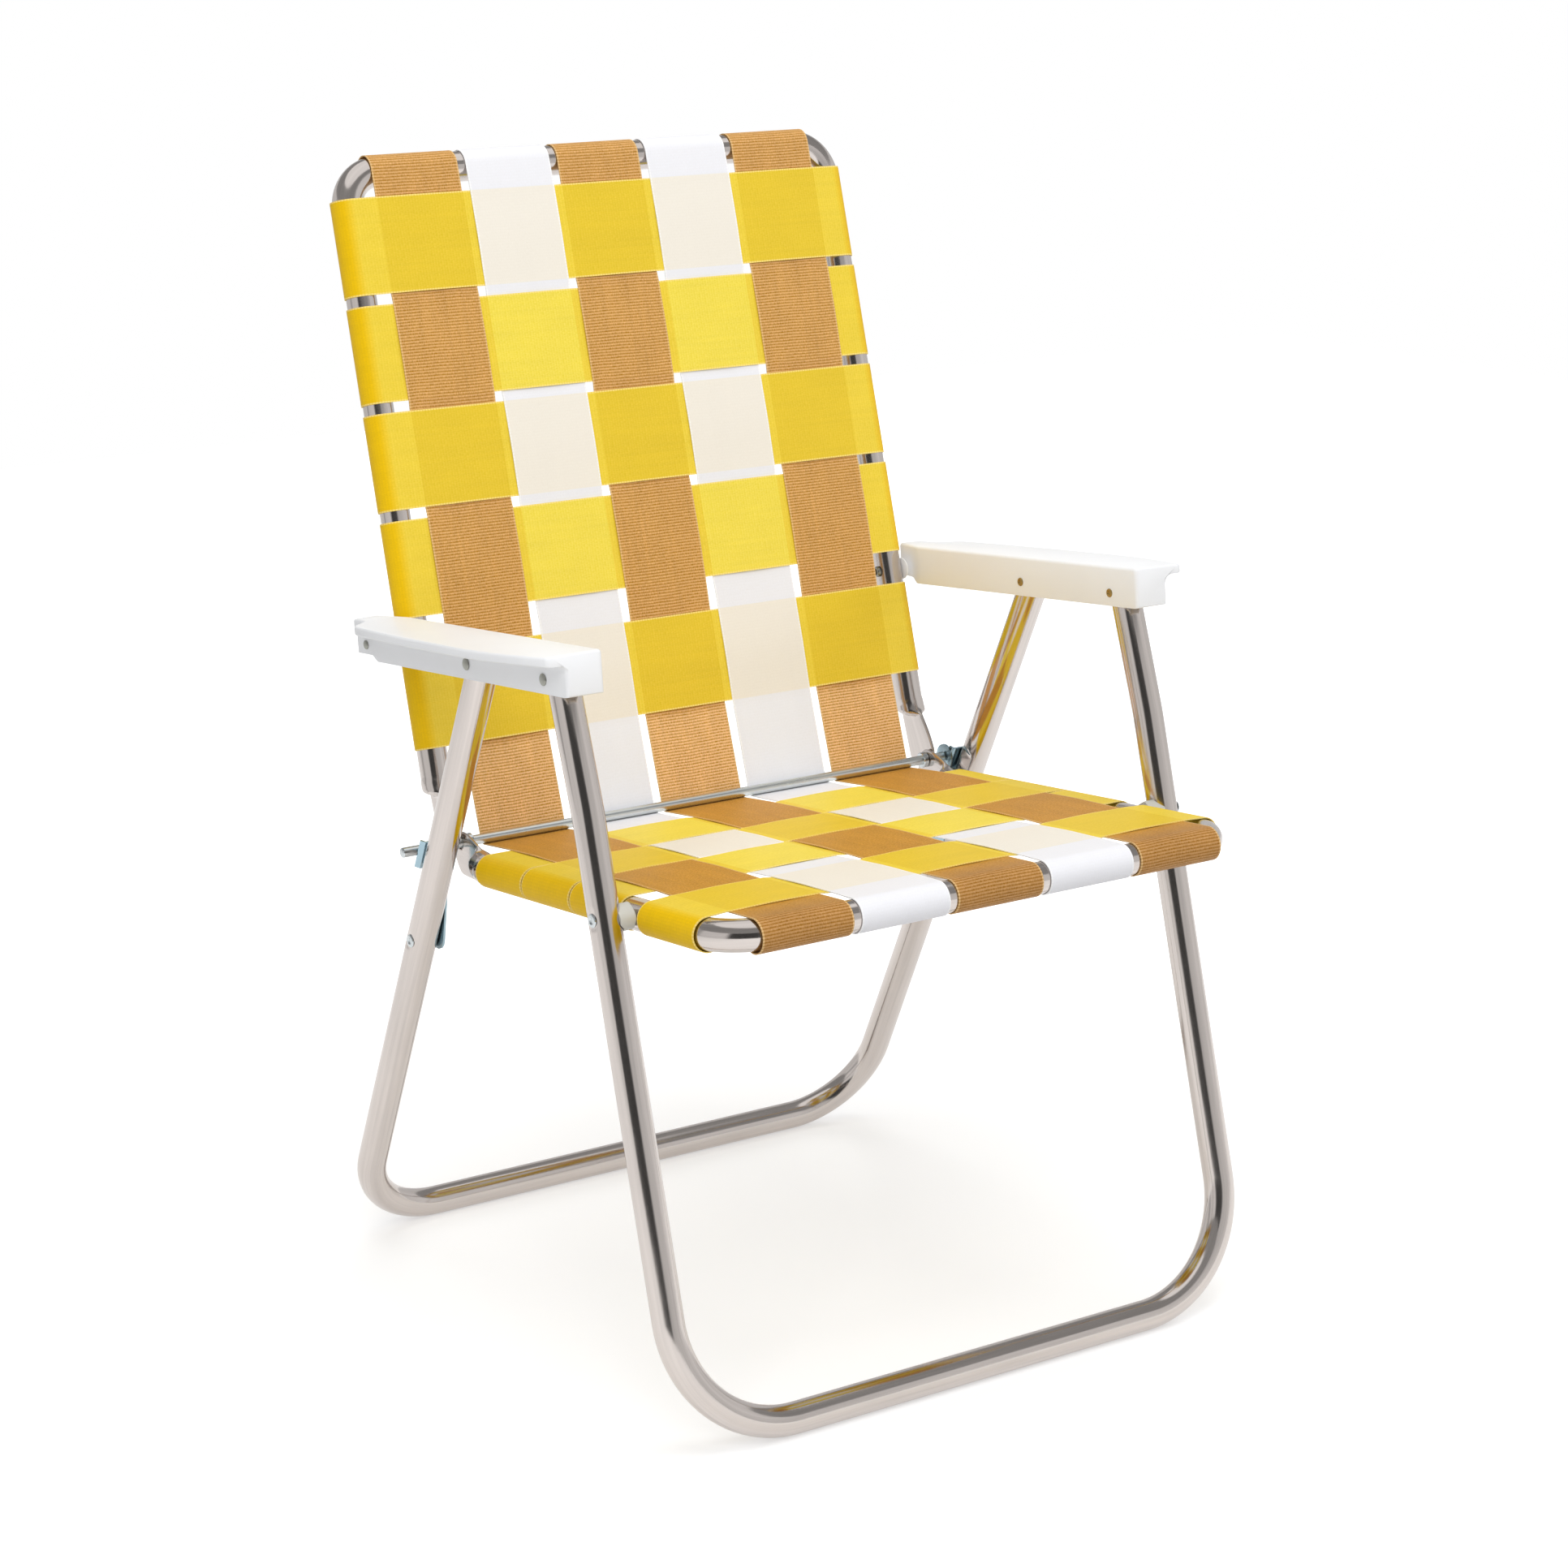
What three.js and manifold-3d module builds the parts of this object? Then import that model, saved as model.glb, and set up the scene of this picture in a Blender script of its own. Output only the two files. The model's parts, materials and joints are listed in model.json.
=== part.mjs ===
// Folding lawn chair with woven webbing, opened and standing on the floor.
// Millimetres, +Z up, the sitter faces -Y. Heights are measured from the floor
// and depths from the axis of the front floor bar; the last step centres the chair.
import * as THREE from 'three';
import Module from 'manifold-3d';
import { mergeVertices } from 'three/addons/utils/BufferGeometryUtils.js';

const wasm = await Module();
wasm.setup();

// Bent tube stock
const TUBE_RADIUS = 12;
const TUBE_SIDES = 24;
const FLOOR_AXIS_Z = TUBE_RADIUS * Math.cos(Math.PI / TUBE_SIDES);
const BEND_STEPS = 8;

// Webbing
const WEB_WIDTH = 76.2;
const WEB_THICKNESS = 0.8;
const WEB_GAP = 0.3;
const WEAVE_RISE = WEB_THICKNESS + 0.4;
const WRAP_RADIUS = TUBE_RADIUS + WEB_GAP + WEB_THICKNESS / 2;
const WRAP_ANGLE = THREE.MathUtils.degToRad(185);
const WRAP_STEPS = 10;
const COLUMN_LEAST_GAP = 7;
const COLUMN_EDGE = 3;
const ROW_LEAST_GAP = 3;
const TOP_ROW_GAP = 9.9;
const ROW_ABOVE_PIVOT = 14.5;
const ROW_BELOW_PIVOT = 12.6;
const SEAT_ROW_GAP = 2;
const ROW_BEHIND_SPACER = 3.3;
const ROW_BEFORE_HINGE = 45;

// Pivots of the folding linkage, as depth and height
const ARM_FRONT_PIVOT = { y: 154.5, z: 551 };
const ARM_REAR_LEG_PIVOT = { y: 270.6, z: 540.2 };
const ARM_BACK_PIVOT = { y: 436.8, z: 524 };
const SEAT_LEG_PIVOT = { y: 100.7, z: 384.5 };
const HINGE = { y: 376, z: 371 };
const LINK_PIVOT = { y: 389.5, z: 294 };

// Widths, from the seat tube outward in the order the pieces lie side by side
const SEAT_X = 223.5;
const BACK_OFFSET = 3.7;
const BACK_TAPER = 2.8;
const ARM_GAP = 1.2;
const ARM_INNER_WALL = 2.5;
const ARM_OUTER_WALL = 2.8;
const LEG_CLEARANCE = 0.4;
const REAR_LEG_OFFSET = 0.3;
const REAR_TAPER = 3.1;
const BACK_BOTTOM_X = SEAT_X + BACK_OFFSET;
const BACK_TOP_X = BACK_BOTTOM_X - BACK_TAPER;
const ARM_INNER_X = BACK_BOTTOM_X + TUBE_RADIUS + ARM_GAP;
const FRONT_LEG_X = ARM_INNER_X + ARM_INNER_WALL + LEG_CLEARANCE + TUBE_RADIUS;
const REAR_TOP_X = FRONT_LEG_X + REAR_LEG_OFFSET;
const REAR_BAR_X = REAR_TOP_X - REAR_TAPER;
const ARM_OUTER_X = REAR_TOP_X + TUBE_RADIUS + LEG_CLEARANCE + ARM_OUTER_WALL;

// Front leg frame: a U standing on its cross bar, legs leaning back more above the kink
const FRONT_BAR_Y = 0;
const FRONT_KINK = { y: 122.5, z: 457.7 };
const FRONT_BEND = 92;
const KINK_BEND = 220;

// Rear leg frame: a U standing on its cross bar, with straight legs
const REAR_BAR_Y = 528.7;
const REAR_BEND = 72;
const REAR_DENT_DEPTH = 3;
const REAR_DENT_LENGTH = 26;

// Back frame: an upside-down U, reclined
const BACK_AXIS_Y = 397.7;
const BACK_TOP_Z = 876.5;
const BACK_LEAN = Math.atan(0.2795);
const BACK_BEND = 30;

// Seat frame: a U with its cross bar in front, sloping down to the rear
const SEAT_FRONT_Y = -15.5;
const SEAT_FRONT_Z = 392;
const SEAT_LEAN = Math.atan(0.0971);
const SEAT_BEND = 40;

// Flattened tube ends that carry the hinge, the back's outside the seat's
const EAR_HALF_THICKNESS = 2;
const EAR_HALF_WIDTH = 17.5;
const EAR_GAP = 0.6;
const EAR_SHOULDER = 12;
const EAR_DRIFT = 8.5;
const EAR_BEYOND_HINGE = 11.5;
const BACK_EAR_START = 38;
const SEAT_EAR_START = 40;
const SEAT_EAR_X = SEAT_X - 0.5;
const BACK_EAR_X = SEAT_EAR_X + 2 * EAR_HALF_THICKNESS + EAR_GAP;
const ROD_RADIUS = 4;
const ROD_HOLE_RADIUS = ROD_RADIUS + 0.3;
const COLLAR_RADIUS = 6.5;
const COLLAR_LENGTH = 5;

// Armrests: channel mouldings over the leg tops, measured from the line of pivots
const ARM_FRONT = -34;
const ARM_REAR = 302;
const ARM_TOP_FRONT = 21.4;
const ARM_TOP_REAR = 20;
const ARM_TOP_FALL = 0.02;
const ARM_BOTTOM_FRONT = -10.3;
const ARM_BOTTOM_REAR = -11.9;
const ARM_TAIL_BOTTOM = -7.5;
const ARM_ROOF = 4;
const ARM_FRONT_WALL = 3.5;
const ARM_CHANNEL_END = 250;
const ARM_LIP_FRONT = 15;
const ARM_LIP_FULL = 28;
const ARM_LIP_SHOULDER = 21;
const ARM_LIP_TAIL = 2;
const ARM_LIP_DEPTH = 8.2;
const ARM_LIP_ROUND = 2.2;
const ARM_FULL_AT = 65;
const ARM_SHOULDER_AT = 258;
const ARM_NECK_LENGTH = 24;
const ARM_STEP = ARM_SHOULDER_AT + ARM_NECK_LENGTH / 3;
const ARM_STEP_LENGTH = ARM_NECK_LENGTH / 3;
const ARM_TUCK_START = 190;
const ARM_WALL_TUCK = 1.2;
const ARM_SCOOP = 9;
const ARM_SCOOP_START = 255;
const ARM_FILLET = 7;
const ARM_EDGE_ROUND = 2.5;
const ARM_FRONT_ROUND = 3;
const ARM_REAR_ROUND = 4;

// Lock brackets that tie the rear legs to the hinge
const PLATE = 1.8;
const PLATE_GAP = 0.3;
const ROD_CLEARANCE = 0.4;
const BRACKET_WIDTH = 24.5;
const BRACKET_PIN_BEYOND = 12.5;
const BRACKET_END_RADIUS = 10.5;
const BRACKET_WEB_GAP = 1.2;
const BRACKET_WEB_HALF_HEIGHT = 13;
const BRACKET_BEND = 4;
const BRACKET_LIP = 3;

// Fasteners and spacers
const RIVET_RADIUS = 4.5;
const REAR_RIVET_RADIUS = 3.6;
const RIVET_HEIGHT = 1.8;
const LEG_RIVET_RADIUS = 5.2;
const LEG_RIVET_HEIGHT = 1.2;
const LEG_FLAT_DEPTH = 1.1;
const LEG_FLAT_LENGTH = 20;
const SPACER_RADIUS = 11.5;
const WASHER_RADIUS = 9;
const BOLT_RADIUS = 4.2;

const ALUMINIUM = new THREE.MeshStandardMaterial({ color: 0xc9c7c4, roughness: 0.28, metalness: 1 });
const ZINC = new THREE.MeshStandardMaterial({ color: 0xcfd2d2, roughness: 0.22, metalness: 1 });
const BLUE_ZINC = new THREE.MeshStandardMaterial({ color: 0x8fa9b5, roughness: 0.3, metalness: 1 });
const WHITE_PLASTIC = new THREE.MeshStandardMaterial({ color: 0xf1efea, roughness: 0.42, metalness: 0 });
const TAN_WEB = new THREE.MeshStandardMaterial({ color: 0xc28f49, roughness: 0.6, metalness: 0 });
const WHITE_WEB = new THREE.MeshStandardMaterial({ color: 0xf0eff0, roughness: 0.6, metalness: 0 });
const YELLOW_WEB = new THREE.MeshStandardMaterial({ color: 0xf0d23c, roughness: 0.55, metalness: 0 });

const chair = new THREE.Group();
chair.name = 'folding_lawn_chair';
const X_AXIS = new THREE.Vector3(1, 0, 0);

function vec(x, y, z) {
  return new THREE.Vector3(x, y, z);
}

function add(name, geometry, material) {
  const mesh = new THREE.Mesh(geometry, material);
  mesh.name = name;
  chair.add(mesh);
}

// Closed skin over rings of equal point count, with fan caps, always facing outward
function loft(rings) {
  const sides = rings[0].length;
  const index = [];
  for (let r = 0; r + 1 < rings.length; r += 1) {
    for (let k = 0; k < sides; k += 1) {
      const a = r * sides + k;
      const b = r * sides + ((k + 1) % sides);
      index.push(a, b, a + sides, b, b + sides, a + sides);
    }
  }
  const last = (rings.length - 1) * sides;
  for (let k = 1; k + 1 < sides; k += 1) {
    index.push(0, k + 1, k, last, last + k, last + k + 1);
  }
  const points = rings.flat();
  let volume = 0;
  for (let i = 0; i < index.length; i += 3) {
    const [a, b, c] = [points[index[i]], points[index[i + 1]], points[index[i + 2]]];
    volume += a.dot(b.clone().cross(c));
  }
  if (volume < 0) {
    index.reverse();
  }
  const geometry = new THREE.BufferGeometry();
  const numbers = points.flatMap((p) => p.toArray());
  geometry.setAttribute('position', new THREE.Float32BufferAttribute(numbers, 3));
  geometry.setIndex(index);
  geometry.computeVertexNormals();
  return geometry;
}

// Points along a polyline whose inner corners are rounded to the given radii
function roundedPath(corners, radii, steps = BEND_STEPS) {
  const path = [corners[0]];
  for (let i = 1; i + 1 < corners.length; i += 1) {
    const back = corners[i - 1].clone().sub(corners[i]).normalize();
    const ahead = corners[i + 1].clone().sub(corners[i]).normalize();
    const half = Math.acos(THREE.MathUtils.clamp(back.dot(ahead), -1, 1)) / 2;
    const reach = radii[i - 1] / Math.tan(half);
    const middle = back.clone().add(ahead).normalize().multiplyScalar(radii[i - 1] / Math.sin(half));
    const centre = corners[i].clone().add(middle);
    const from = corners[i].clone().addScaledVector(back, reach).sub(centre);
    const to = corners[i].clone().addScaledVector(ahead, reach).sub(centre);
    const sweep = Math.PI - 2 * half;
    const count = Math.max(2, Math.round((steps * sweep) / (Math.PI / 2)));
    for (let k = 0; k <= count; k += 1) {
      const t = (sweep * k) / count;
      const a = from.clone().multiplyScalar(Math.sin(sweep - t) / Math.sin(sweep));
      path.push(a.addScaledVector(to, Math.sin(t) / Math.sin(sweep)).add(centre));
    }
  }
  path.push(corners[corners.length - 1]);
  return path;
}

// Half of a symmetric frame, mirrored across X = 0 and swept as one tube.
// A station is { at, thick, wide, square, dent, flat } measured across and along the frame:
// dent presses the tube's inner side and flat its outer side.
function sweepFrame(half, flatDown) {
  const far = half.map((s) => ({ ...s, at: s.at.clone().multiply(vec(-1, 1, 1)) })).reverse();
  const stations = [...half, ...far];
  const count = stations.length;
  const tangents = stations.map((s, i) => {
    const before = stations[Math.max(0, i - 1)].at;
    const after = stations[Math.min(count - 1, i + 1)].at;
    const inward = s.at.clone().sub(before).normalize();
    const outward = after.clone().sub(s.at).normalize();
    return inward.add(outward).normalize();
  });
  let across = X_AXIS.clone();
  const frames = tangents.map((t) => {
    across = across.clone().addScaledVector(t, -across.dot(t)).normalize();
    return { across, along: t.clone().cross(across) };
  });
  const middle = frames[count / 2 - 1];
  const phase = flatDown ? Math.atan2(-middle.along.z, -middle.across.z) : 0;
  const rings = stations.map((s, i) => {
    const thick = s.thick ?? TUBE_RADIUS;
    const wide = s.wide ?? TUBE_RADIUS;
    const power = s.square ?? 1;
    return Array.from({ length: TUBE_SIDES }, (_, k) => {
      const angle = phase + ((k + 0.5) * 2 * Math.PI) / TUBE_SIDES;
      const c = Math.cos(angle);
      const d = Math.sin(angle);
      const u = Math.sign(c) * Math.abs(c) ** power * thick;
      const v = Math.sign(d) * Math.abs(d) ** power * wide;
      const p = s.at.clone().addScaledVector(frames[i].across, u).addScaledVector(frames[i].along, v);
      if (s.dent) {
        const inside = Math.abs(s.at.x) - TUBE_RADIUS + s.dent;
        p.x = Math.sign(s.at.x) * Math.max(Math.abs(p.x), inside);
      }
      if (s.flat) {
        const outside = Math.abs(s.at.x) + TUBE_RADIUS - s.flat;
        p.x = Math.sign(s.at.x) * Math.min(Math.abs(p.x), outside);
      }
      return p;
    });
  });
  return loft(rings);
}

// Rounded closed end of a tube, as stations shrinking toward the tip
function domeStations(pivot, ahead) {
  return [80, 60, 35].map((degrees) => {
    const angle = THREE.MathUtils.degToRad(degrees);
    const radius = TUBE_RADIUS * Math.cos(angle);
    const at = pivot.clone().addScaledVector(ahead, -TUBE_RADIUS * Math.sin(angle));
    return { at, thick: radius, wide: radius };
  });
}

function plain(points) {
  return points.map((at) => ({ at }));
}

// Spot pressed into a straight leg at a height, as four stations going down the leg
function pressed(start, ahead, z, length, press) {
  const middle = (z - start.z) / ahead.z;
  return [-0.5, -0.3, 0.3, 0.5].map((share) => ({
    at: start.clone().addScaledVector(ahead, middle + share * length),
    ...(Math.abs(share) < 0.4 ? press : {}),
  }));
}

// Round part turned about an axis along X, from pairs of distance and radius
function turned(x, y, z, sign, profile, sides = 16) {
  const rings = profile.map(([offset, radius]) => Array.from({ length: sides }, (_, k) => {
    const angle = ((k + 0.5) * 2 * Math.PI) / sides;
    return vec(x + sign * offset, y + radius * Math.cos(angle), z + radius * Math.sin(angle));
  }));
  return loft(rings);
}

function toManifold(geometry) {
  const bare = geometry.clone();
  bare.deleteAttribute('normal');
  bare.deleteAttribute('uv');
  const merged = mergeVertices(bare, 1e-4);
  const mesh = new wasm.Mesh({
    numProp: 3,
    vertProperties: Float32Array.from(merged.attributes.position.array),
    triVerts: Uint32Array.from(merged.index.array),
  });
  return new wasm.Manifold(mesh);
}

function fromManifold(solid) {
  const mesh = solid.getMesh();
  const geometry = new THREE.BufferGeometry();
  geometry.setAttribute('position', new THREE.BufferAttribute(Float32Array.from(mesh.vertProperties), 3));
  geometry.setIndex(Array.from(mesh.triVerts));
  const flat = geometry.toNonIndexed();
  flat.computeVertexNormals();
  return flat;
}

// Mirrored placements turn a slab inside out; this puts its faces right again
function outwardFacing(geometry) {
  const bare = geometry.clone();
  bare.deleteAttribute('normal');
  bare.deleteAttribute('uv');
  const merged = mergeVertices(bare, 1e-4);
  const position = merged.attributes.position;
  const index = Array.from(merged.index.array);
  let volume = 0;
  for (let i = 0; i < index.length; i += 3) {
    const [a, b, c] = [0, 1, 2].map((k) => new THREE.Vector3().fromBufferAttribute(position, index[i + k]));
    volume += a.dot(b.cross(c));
  }
  if (volume < 0) {
    index.reverse();
    merged.setIndex(index);
  }
  merged.computeVertexNormals();
  return merged;
}

// Flat outline in a plane given by two directions, thickened along the third
function slab(outline, depth, place) {
  const shape = new THREE.Shape(outline.map(([a, b]) => new THREE.Vector2(a, b)));
  const geometry = new THREE.ExtrudeGeometry(shape, { depth, bevelEnabled: false, curveSegments: 1 });
  geometry.applyMatrix4(place);
  return outwardFacing(geometry);
}

// Ribbon of webbing or sheet: a folded centre line with thickness, drawn out to a width
function ribbon(line, width, place, thickness = WEB_THICKNESS) {
  const normals = line.map((p, i) => {
    const before = line[Math.max(0, i - 1)];
    const after = line[Math.min(line.length - 1, i + 1)];
    const into = p.clone().sub(before);
    const out = after.clone().sub(p);
    const a = into.lengthSq() > 0 ? into.normalize() : out.clone().normalize();
    const b = out.lengthSq() > 0 ? out.normalize() : a.clone();
    const tangent = a.clone().add(b).normalize();
    const stretch = 1 / Math.max(0.5, tangent.dot(a));
    return new THREE.Vector2(-tangent.y, tangent.x).multiplyScalar((stretch * thickness) / 2);
  });
  const left = line.map((p, i) => p.clone().add(normals[i]));
  const right = line.map((p, i) => p.clone().sub(normals[i])).reverse();
  const outline = [...left, ...right].map((p) => [p.x, p.y]);
  return slab(outline, width, place);
}

// Arc of a strap end round a tube, from the face of the panel over to its far side
function wrapPoints(centre, direction) {
  return Array.from({ length: WRAP_STEPS + 1 }, (_, k) => {
    const angle = (WRAP_ANGLE * k) / WRAP_STEPS;
    const along = direction * WRAP_RADIUS * Math.sin(angle);
    return new THREE.Vector2(centre + along, WRAP_RADIUS * Math.cos(angle));
  });
}

function basis(x, y, z, origin) {
  return new THREE.Matrix4().makeBasis(x, y, z).setPosition(origin);
}

// Frames

const frontTop = vec(-FRONT_LEG_X, ARM_FRONT_PIVOT.y, ARM_FRONT_PIVOT.z);
const frontKink = vec(-FRONT_LEG_X, FRONT_KINK.y, FRONT_KINK.z);
const frontCorner = vec(-FRONT_LEG_X, FRONT_BAR_Y, FLOOR_AXIS_Z);
const frontMiddle = vec(0, FRONT_BAR_Y, FLOOR_AXIS_Z);
const frontPath = roundedPath([frontTop, frontKink, frontCorner, frontMiddle], [KINK_BEND, FRONT_BEND]);
const frontAhead = frontKink.clone().sub(frontTop).normalize();
const frontDown = frontCorner.clone().sub(frontKink).normalize();
const rivetSpot = { flat: LEG_FLAT_DEPTH };
const belowSeat = frontPath.findIndex((p) => p.z < SEAT_LEG_PIVOT.z);
add('front_leg_frame', sweepFrame([
  ...domeStations(frontTop, frontAhead),
  ...plain(frontPath.slice(0, belowSeat)),
  ...pressed(frontKink, frontDown, SEAT_LEG_PIVOT.z, LEG_FLAT_LENGTH, rivetSpot),
  ...plain(frontPath.slice(belowSeat, -1)),
], true), ALUMINIUM);

const rearTop = vec(-REAR_TOP_X, ARM_REAR_LEG_PIVOT.y, ARM_REAR_LEG_PIVOT.z);
const rearCorner = vec(-REAR_BAR_X, REAR_BAR_Y, FLOOR_AXIS_Z);
const rearMiddle = vec(0, REAR_BAR_Y, FLOOR_AXIS_Z);
const rearPath = roundedPath([rearTop, rearCorner, rearMiddle], [REAR_BEND]);
const rearAhead = rearCorner.clone().sub(rearTop).normalize();

function rearLegX(z) {
  return THREE.MathUtils.lerp(REAR_BAR_X, REAR_TOP_X, (z - rearCorner.z) / (rearTop.z - rearCorner.z));
}

// The bracket lies on the inner face of the rear leg, and the hinge rod ends just inside it
const bracketFar = rearLegX(LINK_PIVOT.z) - TUBE_RADIUS - PLATE_GAP;
const bracketNear = bracketFar - PLATE;
const bracketOuter = bracketNear + BRACKET_WIDTH;
const rodHalfLength = bracketNear - ROD_CLEARANCE;

add('rear_leg_frame', sweepFrame([
  ...domeStations(rearTop, rearAhead),
  { at: rearTop },
  ...pressed(rearTop, rearAhead, HINGE.z, REAR_DENT_LENGTH, { dent: REAR_DENT_DEPTH }),
  ...pressed(rearTop, rearAhead, LINK_PIVOT.z, LEG_FLAT_LENGTH, rivetSpot),
  ...plain(rearPath.slice(1, -1)),
], true), ALUMINIUM);

// The flattened ear runs off the tube axis so that the hinge sits toward the panel's face
function earStations(tubeEnd, ahead, side, x, tip) {
  const at = (distance, drift) => (
    tubeEnd.clone().addScaledVector(ahead, distance).addScaledVector(side, drift * EAR_DRIFT).setX(-x)
  );
  const ear = (distance, drift, wide) => ({
    at: at(distance, drift), thick: EAR_HALF_THICKNESS, wide: wide * EAR_HALF_WIDTH, square: 0.6,
  });
  const shoulder = tubeEnd.clone().addScaledVector(ahead, EAR_SHOULDER * 0.4);
  return [
    ear(tip, 1, 0.45),
    ear(tip - EAR_BEYOND_HINGE * 0.35, 0.94, 0.8),
    ear(tip - EAR_BEYOND_HINGE, 0.82, 1),
    ear(EAR_SHOULDER, 0.24, 0.97),
    { at: shoulder, thick: TUBE_RADIUS * 0.62, wide: TUBE_RADIUS * 1.22 },
    { at: tubeEnd.clone() },
  ];
}

const hingeHole = toManifold(turned(0, HINGE.y, HINGE.z, 1, [
  [-ARM_OUTER_X, ROD_HOLE_RADIUS],
  [ARM_OUTER_X, ROD_HOLE_RADIUS],
], 20));

function drilled(geometry) {
  return fromManifold(toManifold(geometry).subtract(hingeHole));
}

const backUp = vec(0, Math.sin(BACK_LEAN), Math.cos(BACK_LEAN));
const backFace = vec(0, -Math.cos(BACK_LEAN), Math.sin(BACK_LEAN));
const backOrigin = vec(0, BACK_AXIS_Y, HINGE.z);
const backHeight = (BACK_TOP_Z - HINGE.z) / Math.cos(BACK_LEAN);

function backTubeX(v) {
  return THREE.MathUtils.lerp(BACK_BOTTOM_X, BACK_TOP_X, v / backHeight);
}

function backPoint(x, v) {
  return backOrigin.clone().addScaledVector(backUp, v).setX(x);
}

const backEnd = backPoint(-backTubeX(BACK_EAR_START), BACK_EAR_START);
const backPath = roundedPath(
  [backEnd, backPoint(-BACK_TOP_X, backHeight), backPoint(0, backHeight)],
  [BACK_BEND],
);
const backDown = backUp.clone().negate();
const backTip = BACK_EAR_START + EAR_BEYOND_HINGE;
add('back_frame', drilled(sweepFrame([
  ...earStations(backEnd, backDown, backFace, BACK_EAR_X, backTip),
  ...plain(backPath.slice(1, -1)),
])), ALUMINIUM);

const seatAhead = vec(0, -Math.cos(SEAT_LEAN), Math.sin(SEAT_LEAN));
const seatFace = vec(0, Math.sin(SEAT_LEAN), Math.cos(SEAT_LEAN));
const seatOrigin = vec(0, SEAT_FRONT_Y, SEAT_FRONT_Z);

// Distance along the seat from the axis of its front bar, for a given depth
function seatRun(y) {
  return (y - SEAT_FRONT_Y) / Math.cos(SEAT_LEAN);
}

function seatPoint(x, run) {
  return seatOrigin.clone().addScaledVector(seatAhead, -run).setX(x);
}

const seatEnd = seatPoint(-SEAT_X, seatRun(HINGE.y) - SEAT_EAR_START);
const seatPath = roundedPath([seatEnd, seatPoint(-SEAT_X, 0), seatPoint(0, 0)], [SEAT_BEND]);
const seatBehind = seatAhead.clone().negate();
const seatTip = SEAT_EAR_START + EAR_BEYOND_HINGE;
add('seat_frame', drilled(sweepFrame([
  ...earStations(seatEnd, seatBehind, seatFace, SEAT_EAR_X, seatTip),
  ...plain(seatPath.slice(1, -1)),
])), ALUMINIUM);

// Hinge rod with a collar against each seat ear
add('hinge_rod', turned(0, HINGE.y, HINGE.z, 1, [
  [-rodHalfLength, ROD_RADIUS - 0.8],
  [0.8 - rodHalfLength, ROD_RADIUS],
  [rodHalfLength - 0.8, ROD_RADIUS],
  [rodHalfLength, ROD_RADIUS - 0.8],
]), ZINC);

function ringBush(x, y, z, sign, length, radius, bore) {
  const outer = toManifold(turned(x, y, z, sign, [[0, radius], [length, radius]], 20));
  const inner = toManifold(turned(x, y, z, sign, [[-1, bore], [length + 1, bore]], 16));
  return fromManifold(outer.subtract(inner));
}

// Webbing

// Rows run across; each has a centre distance along its panel and a width.
// The lowest back row sits apart to leave the armrest pivots free.
const pivotRun = (ARM_BACK_PIVOT.z - HINGE.z) / Math.cos(BACK_LEAN);
const lastRow = pivotRun - ROW_BELOW_PIVOT - WEB_WIDTH / 2;
const lowRow = pivotRun + ROW_ABOVE_PIVOT + WEB_WIDTH / 2;
const topRow = backHeight - TUBE_RADIUS - TOP_ROW_GAP - WEB_WIDTH / 2;
const rowSteps = Math.max(1, Math.floor((topRow - lowRow) / (WEB_WIDTH + ROW_LEAST_GAP)));
const BACK_ROWS = Array.from({ length: rowSteps + 1 }, (_, k) => (
  { at: THREE.MathUtils.lerp(topRow, lowRow, k / rowSteps), width: WEB_WIDTH }
));
BACK_ROWS.push({ at: lastRow, width: WEB_WIDTH });

// The seat rows behind the front legs are drawn together to fit between spacers and hinge
const zoneFront = seatRun(SEAT_LEG_PIVOT.y) + SPACER_RADIUS + ROW_BEHIND_SPACER;
const zoneRear = seatRun(HINGE.y) - ROW_BEFORE_HINGE;
const zoneCount = Math.max(1, Math.round((zoneRear - zoneFront) / WEB_WIDTH));
const zonePitch = (zoneRear - zoneFront + SEAT_ROW_GAP) / zoneCount;
const zoneWidth = Math.min(WEB_WIDTH, zonePitch - SEAT_ROW_GAP);
const SEAT_ROWS = Array.from({ length: zoneCount }, (_, k) => (
  { at: zoneRear - zoneWidth / 2 - k * zonePitch, width: zoneWidth }
));
const frontRow = seatRun(SEAT_LEG_PIVOT.y) - SPACER_RADIUS - WEB_GAP - WEB_WIDTH / 2;
SEAT_ROWS.push({ at: frontRow, width: WEB_WIDTH });

const panelWidth = 2 * (SEAT_X - TUBE_RADIUS);
const columnCount = Math.max(1, Math.floor(panelWidth / (WEB_WIDTH + COLUMN_LEAST_GAP)));
const columnPitch = (panelWidth - 2 * COLUMN_EDGE) / columnCount;
const COLUMNS = Array.from({ length: columnCount }, (_, k) => (k - (columnCount - 1) / 2) * columnPitch);

function isTan(column) {
  return column % 2 === 0;
}

// On the back the tan straps pass under the odd rows counted from the top
function columnOverBack(column, row) {
  return (row % 2 === 1) === isTan(column);
}

// On the seat the tan straps pass over the odd rows counted from the rear
function columnOverSeat(column, row) {
  return (row % 2 === 0) === isTan(column);
}

function level(over) {
  return WRAP_RADIUS + (over ? WEAVE_RISE : 0);
}

// Cross strap from wrap to wrap, over or under each column in turn
function crossStrap(tubeX, over) {
  const left = wrapPoints(-tubeX, -1).reverse();
  const right = wrapPoints(tubeX, 1);
  const between = COLUMNS.flatMap((x, column) => [-0.5, 0.5].map((side) => (
    new THREE.Vector2(x + side * WEB_WIDTH, level(over(column)))
  )));
  return [...left, ...between, ...right];
}

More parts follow.
